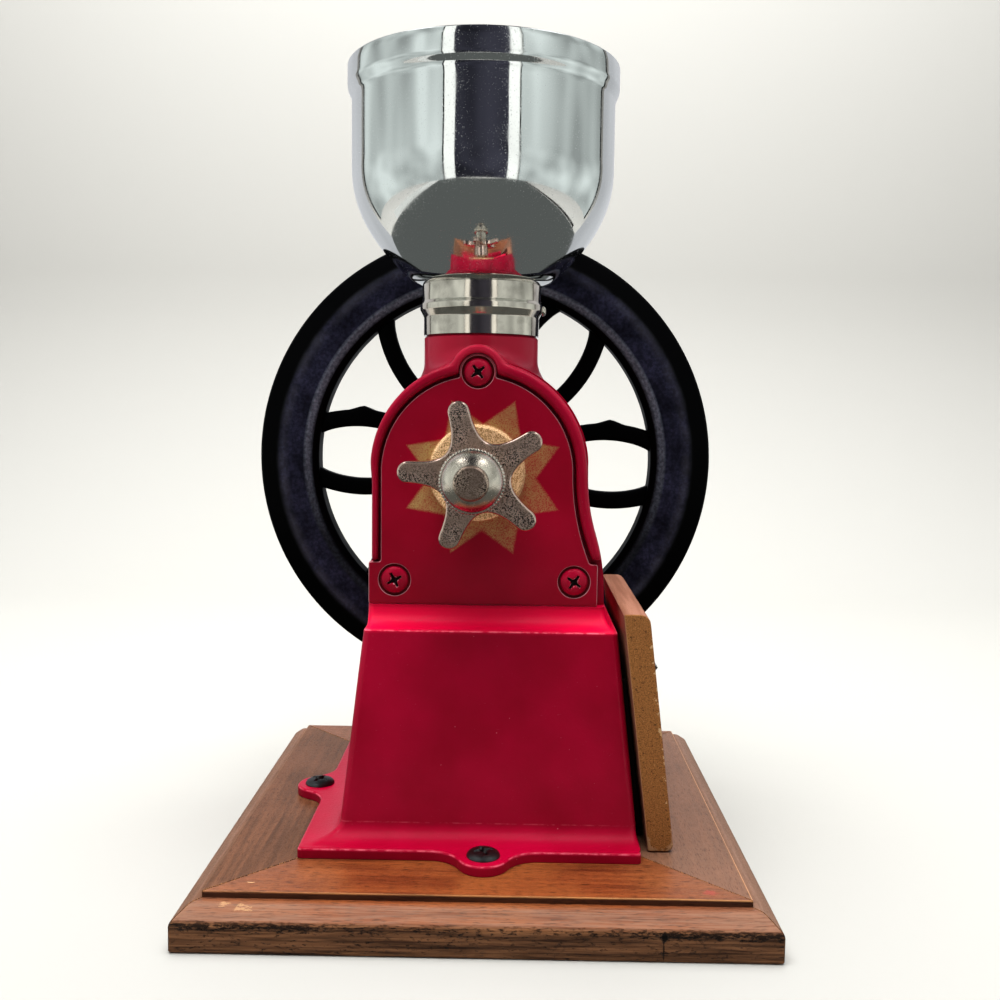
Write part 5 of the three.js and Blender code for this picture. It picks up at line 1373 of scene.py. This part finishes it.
for pair in range(6):
    for flip in (-1, 1):
        sweep = np.linspace(bow_hub, bow_rim, 49)
        walked = np.abs(sweep - bow_hub) * spoke_arc
        to_end = np.minimum(walked, walked[-1] - walked)
        swell = 1 + swell_share * np.exp(-np.clip(to_end - swell_reach, 0, None) / swell_fade)
        out = section[None, :, 0] * swell[:, None]
        if (pair, flip) in ((0, 1), (3, -1)):
            # A blunt peak stands where the two halves of the mould met, on the two level upper bars.
            off_peak = np.abs(walked - (bow_hub - math.pi / 2) * spoke_arc)
            peak = peak_height * np.clip(1 - off_peak / peak_reach, 0, 1)
            out = out + peak[:, None] * (section[None, :, 0] > 0)
        bar_x = spoke_apex + (spoke_arc + out) * np.cos(sweep)[:, None]
        bar_z = flip * (bow_middle + (spoke_arc + out) * np.sin(sweep)[:, None])
        turn = wheel_turn + math.pi / 3 * pair
        grid = np.dstack([
            bar_x * math.cos(turn) - bar_z * math.sin(turn),
            bar_x * math.sin(turn) + bar_z * math.cos(turn),
            wheel_plane + np.broadcast_to(section[:, 1], out.shape),
        ])
        wheel_parts.append(closed_skin(grid))
crank_throw, crank_turn = 95.0, wheel_turn - math.pi / 2
crank_middle = (
    shaft_x + crank_throw * math.cos(crank_turn), shaft_z + crank_throw * math.sin(crank_turn),
)
crank_boss_radius, crank_boss_front, crank_boss_back = 11.0, 68.0, 81.0
crank_boss = rounded(rod(crank_boss_radius, crank_boss_front, crank_boss_back), [0, 0, 1.4, 0])


def black_paint(name):
    """Brushed semi-gloss black on cast iron: the outer bevel stays black, the flat face carries a
    navy-grey bloom that is dust and painted sheen, the inner slope a lighter grey of painted reflection,
    stronger towards the top, and the ridge a pale line of rubbed paint and painted highlight."""
    made, node, here = new_material(name)
    speck = node("TexNoise", here, 1 / (1.4 * MM), 4.0)
    bloom = node("TexNoise", here, 1 / (13.0 * MM), 4.0)
    lump = node("TexNoise", here, 1 / (9.0 * MM), 2.0)
    split = node("SeparateXYZ", here).node.outputs
    away = off_shaft(node, split)
    slope_painted_reflection = node("MapRange", away, 87.2 * MM, 85.8 * MM)
    face_dust_and_sheen = node("MapRange", away, 99.6 * MM, 97.4 * MM)
    face_dust_and_sheen = node("Math SUBTRACT", face_dust_and_sheen, slope_painted_reflection, use_clamp=True)
    spoke_share = node("MapRange", away, 82.6 * MM, 84.2 * MM)
    upper = node("MapRange", split[2], 120.0 * MM, 190.0 * MM, 0.1)
    speck_share = node("MapRange", speck, 0.38, 0.66, 0.5)
    # Navy-grey bloom on the face: dust with a painted sheen.
    bloom_dust_and_sheen = node("MapRange", bloom, 0.34, 0.68, 0.34)
    face_dust_and_sheen = product(node, face_dust_and_sheen, product(node, speck_share, bloom_dust_and_sheen))
    colour = node("Mix", face_dust_and_sheen, "#030304", "#37384c")
    # Painted reflection on the inner slope, lighter in the upper half of the wheel.
    slope_painted_reflection = product(node, slope_painted_reflection, spoke_share, upper, speck_share)
    colour = node("Mix", slope_painted_reflection, colour, "#7a8290")
    # Pale line on the ridge: rubbed paint with a painted highlight.
    ridge = product(node, near(node, away, 97.0, 3.4, 0.0, 0.16), node("MapRange", lump, 0.3, 0.62, 0.2))
    colour = node("Mix", ridge, colour, "#777880")
    gloss = node("MapRange", bloom, 0.3, 0.7, 0.38, 0.52)
    relief = bumped(node, (lump, 0.3, 0.7), (speck, 0.03, 0.8))
    return finished(made, {
        "Base Color": colour, "Roughness": gloss, "Specular IOR Level": 0.035, "Normal": relief,
    })


wheel_parts = [along_y(part, shaft_x, shaft_z) for part in wheel_parts]
piece(
    "black_flywheel", [*wheel_parts, lathed(crank_boss, 64, middle=crank_middle)], "wheel_shaft",
    black_paint("brushed_black_paint"), replaces=["flywheel"], sharp_degrees=45,
)


# Shaft end, key, washer and nut: bright turned steel that holds the wheel on its keyed shaft.
shaft_radius, shaft_front, shaft_back = 6.0, -27.3, 96.0
shaft_line = rounded(rod(shaft_radius, shaft_front, shaft_back), [0, 0.6, 1.0, 0])
piece(
    "turned_shaft", [lathed(shaft_line, 64)],
    "wheel_shaft", steel, replaces=["main_shaft"], sharp_degrees=40,
)
dress("wheel_key", steel)
washer_radius, washer_front, washer_back = 11.0, 81.8, 83.8
washer_line = rounded(rod(washer_radius, washer_front, washer_back, wheel_bore), 0.35, steps=3)
piece(
    "plain_washer", [lathed(washer_line, 72, closed=True)],
    "wheel_shaft", steel, replaces=["wheel_washer"], sharp_degrees=40,
)


def hex_nut(across, bore, start, end, chamfer=0.9, lead_in=0.4, count=144):
    """Hexagonal nut: its radius is the hexagon's at each angle, but no more than a cone allows near
    either face, which cuts the six corners off in arcs."""
    angle = np.linspace(0, 2 * np.pi, count, endpoint=False)
    fold = (angle + math.pi / 6) % (math.pi / 3) - math.pi / 6
    hexagon = across / 2 / np.cos(fold)
    depths = np.concatenate([start + chamfer * np.linspace(0, 1, 7), end - chamfer * np.linspace(1, 0, 7)])
    from_face = np.minimum(depths - start, end - depths)
    limit = across / 2 + 0.05 + from_face * 1.7
    sides = np.minimum(hexagon[None], limit[:, None])
    rows = [bore, bore + lead_in, *sides, bore + lead_in, bore]
    places = [start + lead_in, start, *depths, end, end - lead_in]
    return np.array([ring_line(row, (0, 0), place, count) for row, place in zip(rows, places)])


wheel_nut_across, wheel_nut_front, wheel_nut_back = 19.0, 84.1, 91.6
wheel_nut = hex_nut(wheel_nut_across, wheel_bore, wheel_nut_front, wheel_nut_back)
piece(
    "hex_wheel_nut", [along_y(skin(wheel_nut, round_rows=True), shaft_x, shaft_z)],
    "wheel_shaft", steel, replaces=["wheel_nut"], sharp_degrees=30, flat_faces=True,
)


# Crank: a turned steel spindle in the rim carries a turned and varnished hardwood knob, kept on by a
# round-headed cap screw.
spindle_front, spindle_back = 66.0, 139.2
spindle_root, spindle_radius = 5.0, 4.0
spindle_flange, flange_front, flange_back = 8.0, 81.3, 84.8
spindle_line = rounded([
    (0, spindle_front), (spindle_root, spindle_front), (spindle_root, flange_front),
    (spindle_flange, flange_front), (spindle_flange, flange_back), (spindle_radius, flange_back),
    (spindle_radius, spindle_back), (0, spindle_back),
], [0, 0.3, 0, 0.6, 0.6, 0, 0.3, 0])
piece(
    "turned_spindle", [lathed(spindle_line, 64, middle=crank_middle)],
    "wheel_shaft", steel, replaces=["crank_spindle"], sharp_degrees=40,
)
# The knob swells in a quarter sine from its front to its belly and falls in a quarter cosine behind.
knob_front, knob_length, knob_bore, belly_share = 85.1, 54.0, 4.1, 0.62
knob_front_radius, knob_belly, knob_back_radius = 9.0, 14.5, 10.5
knob_share = np.linspace(0, 1, 40)
knob_radius = np.where(
    knob_share < belly_share,
    knob_front_radius
    + (knob_belly - knob_front_radius) * np.sin(np.pi / 2 * knob_share / belly_share),
    knob_back_radius
    + (knob_belly - knob_back_radius) * np.cos(np.pi / 2 * (knob_share - belly_share) / (1 - belly_share)),
)
knob_radius[[0, -1]] -= 1.0
knob_radius[[1, -2]] -= 0.2
knob_back = knob_front + knob_length
knob_outer = np.column_stack([knob_radius, knob_front + knob_length * knob_share])
knob_line = np.vstack([[(knob_bore, knob_front)], knob_outer, [(knob_bore, knob_back)]])


def turned_hardwood(name):
    """Turned beech under dark varnish: fine grain along the knob and faint lines from the lathe."""
    made, node, here = new_material(name)
    drawn = node("Mapping", {"Vector": here, "Scale": (1.0, 0.06, 1.0)})
    grain = node("TexNoise", drawn, 1 / (1.2 * MM), 4.0)
    rings = node("TexNoise", drawn, 1 / (4.0 * MM), 2.0)
    colour = over(node, "#3f1e0e", "#6e3d1e", rings, 0.35, 0.65)
    colour = over(node, colour, "#241008", grain, 0.44, 0.36, 0.0, 0.6)
    relief = bumped(node, (grain, 0.04, 0.7))
    return finished(made, {
        "Base Color": colour, "Roughness": 0.34, "Coat Weight": 0.5, "Coat Roughness": 0.14,
        "Normal": relief,
    })


piece(
    "turned_crank_knob", [lathed(knob_line, closed=True, middle=crank_middle)],
    "crank_knob", turned_hardwood("varnished_turned_hardwood"), replaces=["crank_knob"],
    sharp_degrees=45,
)
cap_points, cap_faces = screw_head(6.5, 2.6)
piece(
    "knob_cap", [along_y((cap_points + [0, 0, knob_back + 0.2], cap_faces), *crank_middle)],
    "wheel_shaft", steel, replaces=["knob_cap_screw"], sharp_degrees=60,
)


# Works inside the housing: bronze bushes, hardened burrs, the feed auger, the return spring and the
# thrust ball. They show only down the open throat and through the drawer bay.
bronze = metal("turned_bronze", "#a97c46", 0.3, grain=0.5, grain_depth=0.008, spots=0.4)
hardened = metal("hardened_burr_steel", "#4b4a49", 0.4, grain=0.6, grain_depth=0.02, spots=0.5)
for node in ("feed_bush", "rear_bush"):
    dress(node, bronze)
for node in ("ring_burr", "cone_burr"):
    dress(node, hardened, edge=0.15)
auger_front, auger_length, core_radius, flight_radius, flight_width = -7.8, 18.0, 8.5, 14.5, 3.0
flight_root, flight_tip_half, flight_turns = 8.2, 1.2, 1.25
auger_core = rounded(rod(core_radius, auger_front, auger_front + auger_length, wheel_bore), 0.3, steps=3)
flight_section = rounded([
    (flight_root, -flight_width / 2), (flight_radius, -flight_tip_half), (flight_radius, flight_tip_half),
    (flight_root, flight_width / 2),
], [0.0, 0.7, 0.7, 0.0], steps=4)
flight_share = np.linspace(0, 1, 110)[:, None]
flight_angle = 2 * np.pi * flight_turns * flight_share
flight_place = auger_front + flight_width / 2 + (auger_length - flight_width) * flight_share
flight = np.dstack([
    flight_section[None, :, 0] * np.cos(flight_angle), flight_section[None, :, 0] * np.sin(flight_angle),
    flight_place + flight_section[None, :, 1],
])
piece(
    "helical_auger",
    [lathed(auger_core, 72, closed=True), along_y(closed_skin(flight), shaft_x, shaft_z)],
    "wheel_shaft", hardened, replaces=["auger"], sharp_degrees=45,
)
dress("return_spring", steel, edge=0.05)
dress("thrust_ball", steel, edge=0.05)


# Drawer front: a leaning board of fibreboard with rounded outer edges. Its sawn ends show coarse
# brown fibres, and a thin tan film covers the face and the top.
board_low, board_high, board_thick = 18.3, 109.3, 9.8
board_low_x, board_high_x = 63.6, 52.4
board_front, board_back = -57.0, 38.0
board_outline = rounded([
    (board_low_x, board_low), (board_low_x + board_thick, board_low),
    (board_high_x + board_thick, board_high), (board_high_x, board_high),
], [0.3, 2.6, 4.0, 0.3], steps=7)
board_outline = evenly(board_outline, 0.9)


def fibreboard(name):
    """Hard fibreboard: a fine even speckle of light and dark fibres on the sawn ends, which are pale
    and chipped at the corners, and a smoother tan film printed with a faint wood figure elsewhere."""
    made, node, here = new_material(name)
    fibre = node("TexNoise", here, 1 / (0.5 * MM), 4.0, 0.75)
    pit = node("TexNoise", here, 1 / (1.1 * MM), 3.0, 0.6)
    flake = node("TexNoise", here, 1 / (2.2 * MM), 4.0, 0.6)
    drawn = node("Mapping", {"Vector": here, "Scale": (1.0, 0.06, 1.0)})
    blotch = node("TexNoise", drawn, 1 / (2.4 * MM), 4.0)
    sawn = over(node, "#67431f", "#b27a44", fibre, 0.34, 0.64)
    sawn = over(node, sawn, "#3a220f", pit, 0.4, 0.34, 0.0, 0.6)
    sawn = over(node, sawn, "#b08350", pit, 0.63, 0.68, 0.0, 0.5)
    film = over(node, "#936855", "#7c5340", blotch, 0.35, 0.65)
    fine = node("MapRange", fibre, 0.42, 0.3, 0.0, 0.5)
    film = node("Mix", fine, film, "#6b4430")
    # On an end, across runs from -1 at the inner edge to 1 at the outer one, whatever the height.
    parts = node("SeparateXYZ", here).node.outputs
    up = node("Math SUBTRACT", parts[2], board_low * MM)
    lean = (board_low_x - board_high_x) / (board_high - board_low)
    across = node("Math ADD", parts[0], product(node, up, lean))
    across = node("MapRange", across, board_low_x * MM, (board_low_x + board_thick) * MM, -1.0, 1.0)
    from_low = node("MapRange", up, 0.0, 9.0 * MM, 1.0, 0.0)
    corner = node("VectorMath LENGTH", node("CombineXYZ", across, from_low))
    corner = node("Math ADD", corner, node("MapRange", flake, 0.35, 0.65, -0.12, 0.12))
    pale_share = node("MapRange", corner, 0.92, 1.0, 0.0, 0.7)
    pale_share = product(node, pale_share, node("MapRange", from_low, 0.0, 0.25))
    sawn = node("Mix", pale_share, sawn, "#b08b68")
    sawn = over(node, sawn, "#b38d66", across, -0.9, -0.95, 0.0, 0.7)
    chips = node("Math ADD", flake, node("MapRange", across, 0.5, 0.95, 0.0, 0.14))
    sawn = over(node, sawn, "#d0b083", chips, 0.7, 0.73, 0.0, 0.8)
    facing = node("SeparateXYZ", node("NewGeometry").node.outputs["True Normal"]).node.outputs[1]
    shown = over(node, film, sawn, node("Math ABSOLUTE", facing), 0.5, 0.8)
    relief = bumped(node, (fibre, 0.2, 0.9))
    return finished(made, {
        "Base Color": shown, "Roughness": 0.75, "Specular IOR Level": 0.3, "Normal": relief,
    })


board_rings = edge_rings(board_front, board_back, 0.6, 0.6, steps=3)
piece(
    "leaning_drawer_board", [along_y(slab(board_outline, board_rings))], "drawer",
    fibreboard("sawn_fibreboard"), replaces=["drawer_front"], sharp_degrees=50, flat_faces=True,
)


# Drawer box and pull: plain plywood boards, glued, and a bent sheet-steel pull held by two small
# screws on the face of the board.
near_black_ply = plain_ply("near_black_plywood", "#150d09", "#241710", "#0a0605")
for node in ("drawer_bottom", "drawer_side_front", "drawer_side_rear", "drawer_back"):
    dress(node, near_black_ply, edge=0.5)
dress("drawer_pull", blackened, edge=0.15)
for node in ("pull_screw_front", "pull_screw_rear"):
    dress(node, steel, edge=0.1)
